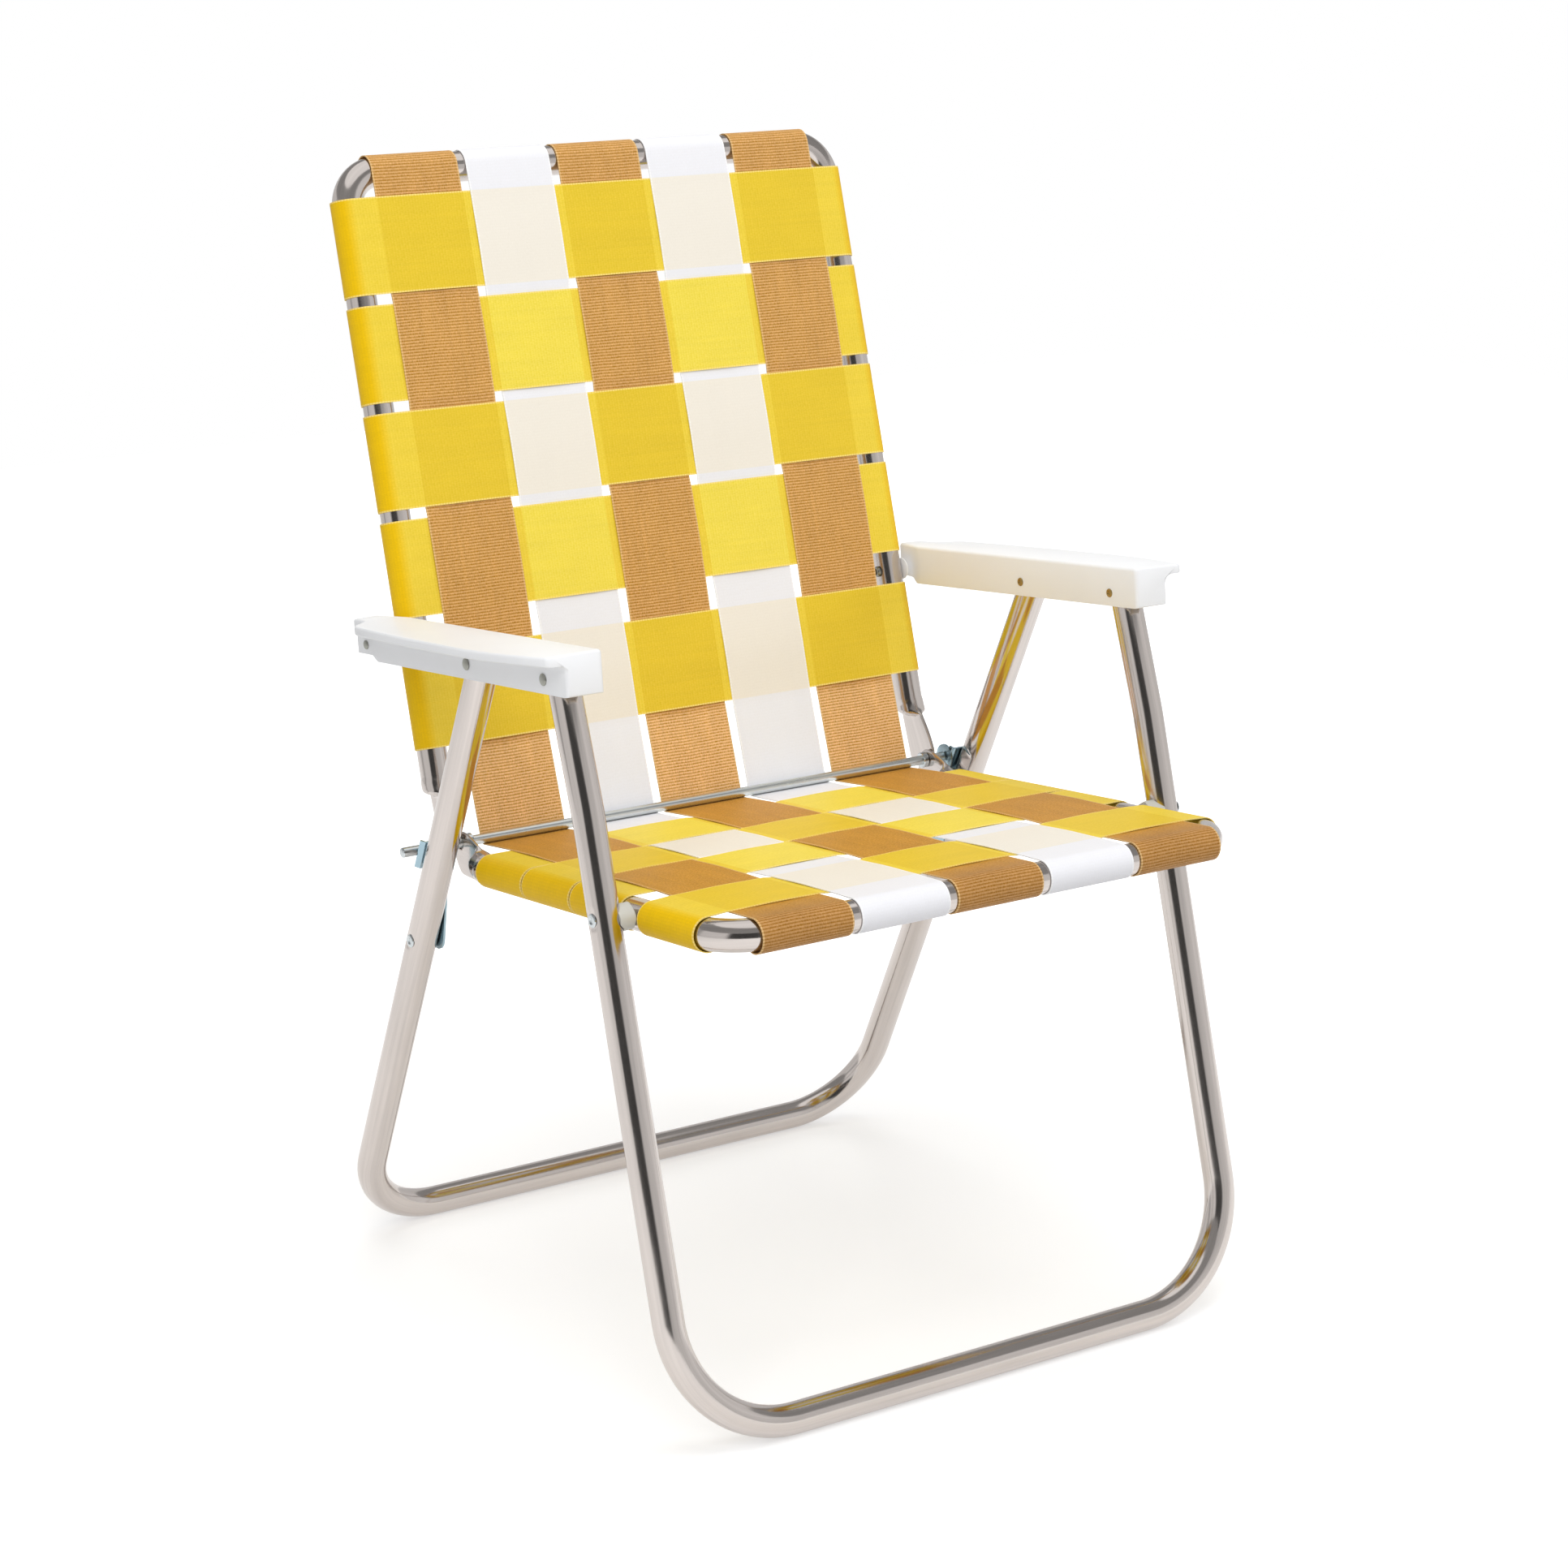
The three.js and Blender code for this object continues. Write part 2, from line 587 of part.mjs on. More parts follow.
BACK_ROWS.forEach((row, k) => {
  const bottom = row.at - row.width / 2;
  const line = crossStrap(backTubeX(bottom), (column) => !columnOverBack(column, k));
  const place = basis(X_AXIS, backFace, backDown, backPoint(0, row.at + row.width / 2));
  add(`back_cross_strap_${k + 1}`, ribbon(line, row.width, place), YELLOW_WEB);
});

SEAT_ROWS.forEach((row, k) => {
  const line = crossStrap(SEAT_X, (column) => !columnOverSeat(column, k));
  const place = basis(X_AXIS, seatFace, seatAhead, seatPoint(0, row.at + row.width / 2));
  add(`seat_cross_strap_${k + 1}`, ribbon(line, row.width, place), YELLOW_WEB);
});

// Long straps: back part from the hinge up and over the top bar, seat part from the hinge to the front bar
const backOrder = BACK_ROWS.map((row, k) => ({ ...row, k })).sort((a, b) => a.at - b.at);
const seatOrder = SEAT_ROWS.map((row, k) => ({ ...row, k })).sort((a, b) => a.at - b.at);

const hingeRise = vec(0, HINGE.y, HINGE.z).sub(seatOrigin).dot(seatFace);
const underRod = hingeRise - ROD_RADIUS - WEB_GAP - WEB_THICKNESS / 2;

COLUMNS.forEach((x, column) => {
  const material = isTan(column) ? TAN_WEB : WHITE_WEB;
  const backLine = [
    new THREE.Vector2(1, level(false)),
    ...backOrder.flatMap((row) => [-0.5, 0.5].map((side) => (
      new THREE.Vector2(row.at + side * row.width, level(columnOverBack(column, row.k)))
    ))),
    ...wrapPoints(backHeight, 1),
  ];
  const backPlace = basis(backUp, backFace, X_AXIS, backPoint(x - WEB_WIDTH / 2, 0));
  add(`back_long_strap_${column + 1}`, ribbon(backLine, WEB_WIDTH, backPlace), material);

  const seatLine = [
    ...wrapPoints(0, -1).reverse(),
    ...seatOrder.flatMap((row) => [-0.5, 0.5].map((side) => (
      new THREE.Vector2(row.at + side * row.width, level(columnOverSeat(column, row.k)))
    ))),
    new THREE.Vector2(seatRun(HINGE.y + 3), underRod),
  ];
  const seatPlace = basis(seatBehind, seatFace, X_AXIS.clone().negate(), seatPoint(x + WEB_WIDTH / 2, 0));
  add(`seat_long_strap_${column + 1}`, ribbon(seatLine, WEB_WIDTH, seatPlace), material);
});

// Armrests

const armStart = vec(0, ARM_FRONT_PIVOT.y, ARM_FRONT_PIVOT.z);
const armAlong = vec(0, ARM_BACK_PIVOT.y, ARM_BACK_PIVOT.z).sub(armStart).normalize();
const armUp = X_AXIS.clone().cross(armAlong);

function armTop(along) {
  return THREE.MathUtils.mapLinear(along, ARM_FRONT, ARM_REAR, ARM_TOP_FRONT, ARM_TOP_REAR);
}

function armBottom(along) {
  const foot = THREE.MathUtils.mapLinear(along, ARM_FRONT, ARM_STEP, ARM_BOTTOM_FRONT, ARM_BOTTOM_REAR);
  const tail = THREE.MathUtils.clamp((along - ARM_STEP) / ARM_STEP_LENGTH, 0, 1);
  return THREE.MathUtils.lerp(foot, ARM_TAIL_BOTTOM, tail);
}

function arcPoints(x, y, radius, from, to, steps) {
  return Array.from({ length: steps + 1 }, (_, k) => {
    const angle = THREE.MathUtils.degToRad(from + ((to - from) * k) / steps);
    return [x + radius * Math.cos(angle), y + radius * Math.sin(angle)];
  });
}

// Share of the outer wall's tuck that is reached at a place along the armrest
function armTuck(along) {
  return THREE.MathUtils.smoothstep(along, ARM_TUCK_START, ARM_REAR);
}

// Overhang of the lip: it swells from the front, narrows to the shoulder and ends in a neck
function armLip(along) {
  const rise = THREE.MathUtils.clamp((along - ARM_FRONT) / (ARM_FULL_AT - ARM_FRONT), 0, 1);
  const fall = Math.max(0, (along - ARM_FULL_AT) / (ARM_SHOULDER_AT - ARM_FULL_AT));
  const swell = THREE.MathUtils.lerp(ARM_LIP_FRONT, ARM_LIP_FULL, Math.sin((rise * Math.PI) / 2));
  const bow = swell - (ARM_LIP_FULL - ARM_LIP_SHOULDER) * fall ** 2;
  const neck = THREE.MathUtils.smoothstep(along, ARM_SHOULDER_AT, ARM_SHOULDER_AT + ARM_NECK_LENGTH);
  return THREE.MathUtils.lerp(bow, ARM_LIP_TAIL, neck);
}

// Section across an armrest: a top plate with a lip over the outer wall. Toward the rear the
// outer wall tucks in, and the inner wall is scooped out beside the back tube.
function armSection(along, inset) {
  const scoop = THREE.MathUtils.smoothstep(along, ARM_SCOOP_START, ARM_REAR);
  const inner = ARM_SCOOP * scoop + inset;
  const outer = ARM_OUTER_X - ARM_INNER_X - ARM_WALL_TUCK * armTuck(along) - inset;
  const overhang = armLip(along);
  const lip = outer + overhang;
  const top = (out) => armTop(along) - inset * 0.6 - ARM_TOP_FALL * out;
  const under = armTop(along) - ARM_LIP_DEPTH;
  const bottom = armBottom(along) + inset * 0.6;
  const edge = ARM_EDGE_ROUND;
  const round = ARM_LIP_ROUND;
  const fillet = Math.min(ARM_FILLET, 0.8 * overhang);
  const chamfer = Math.min(1, 0.15 * overhang);
  return [
    ...arcPoints(lip - round, top(lip - round) - round, round, 90, 0, 3),
    [lip, under + chamfer],
    [lip - chamfer, under],
    ...arcPoints(outer + fillet, under - fillet, fillet, 90, 180, 4),
    [outer, bottom],
    [inner, bottom],
    ...arcPoints(inner + edge, top(inner + edge) - edge, edge, 180, 90, 3),
  ];
}

// Places along an armrest, with the inset that rounds off its ends
function armStations() {
  const rounding = [0, 30, 60, 90].map((degrees) => THREE.MathUtils.degToRad(degrees));
  const front = rounding.map((angle) => ({
    along: ARM_FRONT + ARM_FRONT_ROUND * (1 - Math.cos(angle)),
    inset: ARM_FRONT_ROUND * (1 - Math.sin(angle)),
  }));
  const rear = rounding.map((angle) => ({
    along: ARM_REAR - ARM_REAR_ROUND * (1 - Math.cos(angle)),
    inset: ARM_REAR_ROUND * (1 - Math.sin(angle)),
  })).reverse();
  const between = (from, to, spans) => Array.from({ length: spans }, (_, k) => (
    { along: THREE.MathUtils.lerp(from, to, (k + 1) / spans), inset: 0 }
  ));
  const swell = between(ARM_FRONT + ARM_FRONT_ROUND, ARM_FULL_AT, 4);
  const straight = between(ARM_FULL_AT, ARM_SHOULDER_AT, 4);
  const neck = between(ARM_SHOULDER_AT, ARM_SHOULDER_AT + ARM_NECK_LENGTH, 6);
  return [...front, ...swell, ...straight, ...neck, ...rear];
}

function armrest(sign) {
  const start = armStart.clone().setX(sign * ARM_INNER_X);
  const outward = vec(sign, 0, 0);
  const rings = armStations().map(({ along, inset }) => {
    const centre = start.clone().addScaledVector(armAlong, along);
    return armSection(along, inset).map(([out, up]) => (
      centre.clone().addScaledVector(outward, out).addScaledVector(armUp, up)
    ));
  });
  const channelFront = ARM_FRONT + ARM_FRONT_WALL;
  const below = ARM_BOTTOM_REAR - ARM_ROOF;
  const channel = [
    [channelFront, below],
    [channelFront, armTop(channelFront) - ARM_ROOF],
    [ARM_CHANNEL_END, armTop(ARM_CHANNEL_END) - ARM_ROOF],
    [ARM_CHANNEL_END, below],
  ];
  const channelStart = start.clone().addScaledVector(outward, ARM_INNER_WALL);
  const channelWidth = ARM_OUTER_X - ARM_OUTER_WALL - ARM_INNER_X - ARM_INNER_WALL;
  const hollow = slab(channel, channelWidth, basis(armAlong, armUp, outward, channelStart));
  return fromManifold(toManifold(loft(rings)).subtract(toManifold(hollow)));
}

// Bracket: an arm on the inner side of the leg and a web bent off it behind the leg
function hullOutline(first, firstRadius, second, secondRadius, steps = 8) {
  const heading = Math.atan2(second.z - first.z, second.y - first.y);
  const arc = (centre, radius, from) => Array.from({ length: steps + 1 }, (_, k) => {
    const angle = from + (Math.PI * k) / steps;
    return [centre.y + radius * Math.cos(angle), centre.z + radius * Math.sin(angle)];
  });
  return [
    ...arc(first, firstRadius, heading + Math.PI / 2),
    ...arc(second, secondRadius, heading - Math.PI / 2),
  ];
}

const Y_AXIS = vec(0, 1, 0);
const Z_AXIS = vec(0, 0, 1);

function plate(outline, sign, [near, far]) {
  const place = basis(Y_AXIS, Z_AXIS, vec(sign, 0, 0), vec(sign * near, 0, 0));
  return toManifold(slab(outline, far - near, place));
}

function bracket(sign) {
  const legDown = vec(0, rearAhead.y, rearAhead.z).normalize();
  const legBack = vec(0, -legDown.z, legDown.y);
  const onLeg = vec(0, rearTop.y, rearTop.z);
  const pin = vec(0, HINGE.y, HINGE.z);
  const drop = pin.clone().sub(onLeg).dot(legDown);
  const tall = BRACKET_WEB_HALF_HEIGHT;
  const webBack = TUBE_RADIUS + BRACKET_WEB_GAP + PLATE / 2;
  const bendX = bracketNear + PLATE / 2 + BRACKET_BEND;
  const web = [
    ...arcPoints(bendX, webBack + BRACKET_BEND, BRACKET_BEND, 180, 270, 5),
    [bracketOuter - BRACKET_LIP, webBack],
    [bracketOuter, webBack + BRACKET_LIP],
  ].map(([x, back]) => new THREE.Vector2(x, back));
  const webStart = onLeg.clone().addScaledVector(legDown, drop - tall);
  const webPlace = basis(vec(sign, 0, 0), legBack, legDown, webStart);
  const armOutline = hullOutline(LINK_PIVOT, BRACKET_END_RADIUS, HINGE, BRACKET_END_RADIUS);
  const arm = plate(armOutline, sign, [bracketNear, bracketFar]);
  return fromManifold(arm.add(toManifold(ribbon(web, 2 * tall, webPlace, PLATE))).subtract(hingeHole));
}

// Domed rivet head standing on a surface at x
function rivet(x, pivot, sign, radius, height) {
  const profile = [
    [0, radius], [height * 0.35, radius], [height * 0.75, radius * 0.75], [height, radius * 0.35],
  ];
  return turned(x, pivot.y, pivot.z, sign, profile, 16);
}

// White spacer held against the leg by its hollowed end
function legSpacer(sign) {
  const from = SEAT_X + TUBE_RADIUS + WEB_GAP;
  const length = FRONT_LEG_X - TUBE_RADIUS / 2 - from;
  const pad = turned(sign * from, SEAT_LEG_PIVOT.y, SEAT_LEG_PIVOT.z, sign, [
    [0, SPACER_RADIUS - 1], [1, SPACER_RADIUS], [length, SPACER_RADIUS],
  ], 20);
  const share = (SEAT_LEG_PIVOT.z - frontKink.z) / (frontCorner.z - frontKink.z);
  const leg = frontKink.clone().lerp(frontCorner, share).setX(sign * FRONT_LEG_X);
  const down = frontCorner.clone().sub(frontKink).normalize();
  const sideways = X_AXIS.clone().cross(down);
  const saddle = [-60, 60].map((run) => Array.from({ length: TUBE_SIDES }, (_, k) => {
    const angle = (k * 2 * Math.PI) / TUBE_SIDES;
    const radius = TUBE_RADIUS + 2 * WEB_GAP;
    const p = leg.clone().addScaledVector(down, run);
    p.addScaledVector(X_AXIS, radius * Math.cos(angle));
    return p.addScaledVector(sideways, radius * Math.sin(angle));
  }));
  return fromManifold(toManifold(pad).subtract(toManifold(loft(saddle))));
}

const SIDES = [['right', -1], ['left', 1]];
const ARM_RIVETS = [
  ['front', ARM_FRONT_PIVOT, RIVET_RADIUS],
  ['middle', ARM_REAR_LEG_PIVOT, RIVET_RADIUS],
  ['rear', ARM_BACK_PIVOT, REAR_RIVET_RADIUS],
];
const TOUCH = 0.05;

SIDES.forEach(([side, sign]) => {
  add(`armrest_${side}`, armrest(sign), WHITE_PLASTIC);
  ARM_RIVETS.forEach(([place, pivot, radius]) => {
    const run = vec(0, pivot.y, pivot.z).sub(armStart).dot(armAlong);
    const tuck = ARM_WALL_TUCK * armTuck(run - radius);
    const head = rivet(sign * (ARM_OUTER_X - tuck + TOUCH), pivot, sign, radius, RIVET_HEIGHT);
    add(`armrest_rivet_${place}_${side}`, head, ZINC);
  });

  const collarX = sign * (SEAT_EAR_X - EAR_HALF_THICKNESS - WEB_GAP);
  const collar = ringBush(collarX, HINGE.y, HINGE.z, -sign, COLLAR_LENGTH, COLLAR_RADIUS, ROD_HOLE_RADIUS);
  add(`rod_collar_${side}`, collar, ZINC);

  add(`lock_bracket_${side}`, bracket(sign), BLUE_ZINC);
  const pinLength = BRACKET_WIDTH + BRACKET_PIN_BEYOND;
  add(`lock_pin_${side}`, turned(sign * bracketNear, HINGE.y, HINGE.z, sign, [
    [0, ROD_RADIUS], [pinLength - 1, ROD_RADIUS], [pinLength, ROD_RADIUS - 1],
  ]), ZINC);

  const legFace = (x) => sign * (x + TUBE_RADIUS - LEG_FLAT_DEPTH + TOUCH);
  const legRivet = (x, pivot) => rivet(legFace(x), pivot, sign, LEG_RIVET_RADIUS, LEG_RIVET_HEIGHT);
  add(`bracket_rivet_${side}`, legRivet(rearLegX(LINK_PIVOT.z), LINK_PIVOT), ZINC);
  add(`seat_rivet_${side}`, legRivet(FRONT_LEG_X, SEAT_LEG_PIVOT), ZINC);
  add(`leg_spacer_${side}`, legSpacer(sign), WHITE_PLASTIC);

  const tubeFace = backTubeX(pivotRun) + TUBE_RADIUS;
  const { y: pivotY, z: pivotZ } = ARM_BACK_PIVOT;
  add(`armrest_washer_${side}`, turned(sign * tubeFace, pivotY, pivotZ, sign, [
    [TOUCH, WASHER_RADIUS], [ARM_INNER_X - tubeFace - 2 * TOUCH, WASHER_RADIUS],
  ], 20), WHITE_PLASTIC);
  const boltX = sign * (backTubeX(pivotRun) - TUBE_RADIUS - TOUCH);
  add(`armrest_bolt_${side}`, turned(boltX, pivotY, pivotZ, -sign, [
    [0, BOLT_RADIUS], [2.2, BOLT_RADIUS], [3, BOLT_RADIUS * 0.7],
  ], 12), ZINC);
});

// Put the origin on the floor under the middle of the chair
const box = new THREE.Box3().setFromObject(chair);
const shift = vec(0, -(box.min.y + box.max.y) / 2, -box.min.z);
chair.children.forEach((mesh) => mesh.geometry.translate(...shift.toArray()));

export default chair;
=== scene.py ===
"""Looks of a folding lawn chair with woven webbing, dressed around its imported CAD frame.

Metres, +Z up, the sitter faces -Y, as in the frame. Column 1 and the right side are at -X.
"""

import json
import math

import bmesh
import bpy
import numpy as np
from mathutils import Matrix, Vector

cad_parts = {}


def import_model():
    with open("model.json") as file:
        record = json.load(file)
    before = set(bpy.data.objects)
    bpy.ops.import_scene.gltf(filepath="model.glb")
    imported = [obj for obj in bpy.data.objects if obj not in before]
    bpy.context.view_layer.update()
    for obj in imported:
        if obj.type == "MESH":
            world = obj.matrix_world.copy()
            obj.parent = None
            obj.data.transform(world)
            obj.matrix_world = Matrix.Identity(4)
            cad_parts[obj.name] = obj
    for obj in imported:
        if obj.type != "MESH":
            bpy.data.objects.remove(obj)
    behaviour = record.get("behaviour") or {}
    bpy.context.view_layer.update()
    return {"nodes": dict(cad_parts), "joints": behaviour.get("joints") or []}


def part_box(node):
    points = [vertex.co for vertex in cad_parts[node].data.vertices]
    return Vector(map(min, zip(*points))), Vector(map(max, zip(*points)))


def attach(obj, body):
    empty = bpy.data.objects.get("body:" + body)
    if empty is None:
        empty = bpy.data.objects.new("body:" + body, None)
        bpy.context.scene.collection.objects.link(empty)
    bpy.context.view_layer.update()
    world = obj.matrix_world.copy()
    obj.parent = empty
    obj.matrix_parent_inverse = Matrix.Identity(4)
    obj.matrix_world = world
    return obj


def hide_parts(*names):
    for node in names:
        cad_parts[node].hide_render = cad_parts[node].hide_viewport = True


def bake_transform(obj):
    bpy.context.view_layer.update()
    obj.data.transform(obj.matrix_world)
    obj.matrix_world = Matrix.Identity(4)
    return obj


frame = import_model()
nodes = frame["nodes"]
pivots = {joint["name"]: np.array(joint["pos_m"], float) for joint in frame["joints"]}

# Bent tube stock
TUBE_RADIUS = 0.012
TUBE_SIDES = 48
BEND_STEPS = 24
DOME_DEGREES = (84, 72, 60, 46, 32, 16)
FLOOR_AXIS_Z = 0.0119

# Frames, as in the solids
FRONT_LEG_X = 0.2553
FRONT_TOP = (-0.10725, 0.551)
FRONT_KINK = (-0.13925, 0.4577)
FRONT_BAR_Y = -0.26175
FRONT_BEND = 0.092
KINK_BEND = 0.22
REAR_TOP_X = 0.2556
REAR_BAR_X = 0.2525
REAR_BAR_Y = 0.26695
REAR_BEND = 0.072
REAR_DENT_DEPTH = 0.003
REAR_DENT_LENGTH = 0.03
RIVET_FLAT_DEPTH = 0.0011
RIVET_FLAT_LENGTH = 0.02
BACK_ORIGIN = np.array([0, 0.13595, 0.371])
BACK_LEAN = math.atan(0.2795)
BACK_TOP_Z = 0.8765
BACK_BOTTOM_X = 0.2272
BACK_TOP_X = 0.2244
BACK_BEND = 0.03
SEAT_ORIGIN = np.array([0, -0.27725, 0.392])
SEAT_LEAN = math.atan(0.0971)
SEAT_X = 0.2235
SEAT_BEND = 0.04

# Tube ends pressed flat for the hinge
EAR_HALF_THICKNESS = 0.002
EAR_HALF_WIDTH = 0.0175
EAR_NECK_HALF_WIDTH = 0.0122
EAR_DRIFT = 0.0085
EAR_BEYOND_HINGE = 0.0115
EAR_PRESS_LENGTH = 0.005
EAR_PRESS_LAG = 0.018
EAR_LIP_ROUND = 0.25
EAR_LIP_SLANT = 0.75
EAR_TIP_DEGREES = (0, 12, 25, 40, 55, 72, 90)
EAR_STATIONS = 30
BACK_EAR_START = 0.048
SEAT_EAR_START = 0.040
SEAT_EAR_X = 0.223
BACK_EAR_X = 0.2276
ROD_RADIUS = 0.004
ROD_HOLE_RADIUS = 0.0043

# Webbing
WEB_THICKNESS = 0.0008
WEB_GAP = 0.0003
WRAP_RADIUS = TUBE_RADIUS + WEB_GAP + WEB_THICKNESS / 2
WRAP_ANGLE = math.radians(215)
WRAP_STEPS = 24
# Painted shade on the wraps deepens the yellow from this angle round the tube, over this turn.
WRAP_SHADE_START = math.radians(-8)
WRAP_SHADE_LENGTH = math.radians(50)
WEAVE_RISE = 0.0009
BACK_BOW = (0.0006, 0.0002)
SEAT_BOW = (0.0005, 0.0002)
ACROSS_STEPS = 8
EDGE_STEP = 0.0003
RAMP_SHARES = (0, 0.34, 0.67, 0.9)

# Weave of the webbing; a noise is given by its scales across and along, per metre
RIB_PITCH = 0.0024
RIB_SHARPNESS = 1.5
RIB_MEAN = 0.42
RIB_WANDER = (20, 6)
THREAD_PITCH = 0.0007
THREAD_CONTRAST = 2.2
WEB_STREAKS = (350, 9)
WEB_PATCHES = (60, 25)
WEB_ROUGHNESS = 0.48
WEB_SPECULAR = 0.15
WEB_BUMP = 0.7
# The pale edge band is partly the edge thread's colour and partly painted light where the edges catch
# and pass light, over the shade in the seams.
SELVAGE_WIDTH = 0.0012
SELVAGE_STITCH = 0.0024
SELVAGE_PALE_AND_LIGHT = 0.35
SELVAGE_STITCH_PALE = 0.45

# Grain of the metals and plastics
METAL_LINES = (1400, 9, 3.0)
METAL_BANDS = (320, 7, 3.0)
METAL_CLOUDS = (55, 20, 3.0)
METAL_CLOUD_TONE = 0.10
METAL_LINE_ROUGHNESS = 0.05
METAL_CLOUD_ROUGHNESS = 0.10
METAL_RELIEF = 0.00003
METAL_BUMP = 0.6
PLASTIC_GRAIN_SCALE = 900
PLASTIC_CLOUD_SCALE = 18
PLASTIC_CLOUD_TONE = 0.05
PLASTIC_CLOUD_ROUGHNESS = 0.12
PLASTIC_RELIEF = 0.00006
PLASTIC_BUMP = 0.5

X_AXIS = np.array([1.0, 0, 0])
SIDES = (("right", -1), ("left", 1))

hinge = pivots["fold"]
back_up = np.array([0, math.sin(BACK_LEAN), math.cos(BACK_LEAN)])
back_face = np.array([0, -math.cos(BACK_LEAN), math.sin(BACK_LEAN)])
back_height = (BACK_TOP_Z - BACK_ORIGIN[2]) / math.cos(BACK_LEAN)
seat_behind = np.array([0, math.cos(SEAT_LEAN), -math.sin(SEAT_LEAN)])
seat_face = np.array([0, math.sin(SEAT_LEAN), math.cos(SEAT_LEAN)])


def point(x, y, z):
    return np.array([x, y, z], float)


def unit(vector):
    return vector / np.linalg.norm(vector)


def ease(share):
    share = min(max(share, 0.0), 1.0)
    return share * share * (3 - 2 * share)


def mix(a, b, share):
    return a + (b - a) * share


def back_tube_x(run):
    return mix(BACK_BOTTOM_X, BACK_TOP_X, run / back_height)


def on_back(x, run, height):
    return BACK_ORIGIN + back_up * run + back_face * height + X_AXIS * x


def on_seat(x, run, height):
    return SEAT_ORIGIN + seat_behind * run + seat_face * height + X_AXIS * x


def linear(red, green, blue):
    """A colour given in display values from 0 to 255, as linear light."""
    def one(value):
        value /= 255
        return value / 12.92 if value <= 0.04045 else ((value + 0.055) / 1.055) ** 2.4
    return (one(red), one(green), one(blue))


# Materials

def new_material(name):
    material = bpy.data.materials.new(name)
    material.use_nodes = True
    tree = material.node_tree
    tree.nodes.clear()
    output = tree.nodes.new("ShaderNodeOutputMaterial")
    shader = tree.nodes.new("ShaderNodeBsdfPrincipled")
    tree.links.new(shader.outputs["BSDF"], output.inputs["Surface"])
    return material, tree, shader


def feed(tree, socket, value):
    """Links a socket to an input, or sets the input to a plain value."""
    if isinstance(value, bpy.types.NodeSocket):
        tree.links.new(value, socket)
    else:
        socket.default_value = value


def calc(tree, operation, *values):
    node = tree.nodes.new("ShaderNodeMath")
    node.operation = operation
    for socket, value in zip(node.inputs, values):
        feed(tree, socket, value)
    return node.outputs[0]


def wave(tree, coordinate, pitch, phase=0.0):
    """Sine along a coordinate in metres, from -1 to 1."""
    turned = calc(tree, "MULTIPLY_ADD", coordinate, 2 * math.pi / pitch, phase)
    return calc(tree, "SINE", turned)


def scaled_noise(tree, x, y, x_scale, y_scale, detail=2.0):
    """Noise over two coordinates in metres, stretched by a scale for each."""
    join = tree.nodes.new("ShaderNodeCombineXYZ")
    feed(tree, join.inputs[0], calc(tree, "MULTIPLY", x, x_scale))
    feed(tree, join.inputs[1], calc(tree, "MULTIPLY", y, y_scale))
    noise = tree.nodes.new("ShaderNodeTexNoise")
    noise.inputs["Scale"].default_value = 1.0
    noise.inputs["Detail"].default_value = detail
    tree.links.new(join.outputs[0], noise.inputs["Vector"])
    return noise.outputs[0]


def surface_coordinates(tree):
    """Distances across and along the surface, in metres, from the mesh's own UV map."""
    uv = tree.nodes.new("ShaderNodeUVMap")
    split = tree.nodes.new("ShaderNodeSeparateXYZ")
    tree.links.new(uv.outputs[0], split.inputs[0])
    return split.outputs[0], split.outputs[1]


def tinted(tree, colour, factor):
    node = tree.nodes.new("ShaderNodeVectorMath")
    node.operation = "SCALE"
    feed(tree, node.inputs[0], colour)
    feed(tree, node.inputs["Scale"], factor)
    return node.outputs[0]


def bump(tree, shader, height, distance, strength=1.0):
    node = tree.nodes.new("ShaderNodeBump")
    node.inputs["Distance"].default_value = distance
    node.inputs["Strength"].default_value = strength
    feed(tree, node.inputs["Height"], height)
    tree.links.new(node.outputs[0], shader.inputs["Normal"])


def lines_across(tree, coordinate, pitch, power):
    """Thin lines at a pitch along a coordinate in metres, from 0 between them to 1 on them."""
    raised = calc(tree, "MULTIPLY_ADD", wave(tree, coordinate, pitch), 0.5, 0.5)
    return calc(tree, "POWER", raised, power)


def attribute(tree, name, output):
    node = tree.nodes.new("ShaderNodeAttribute")
    node.attribute_name = name
    return node.outputs[output]


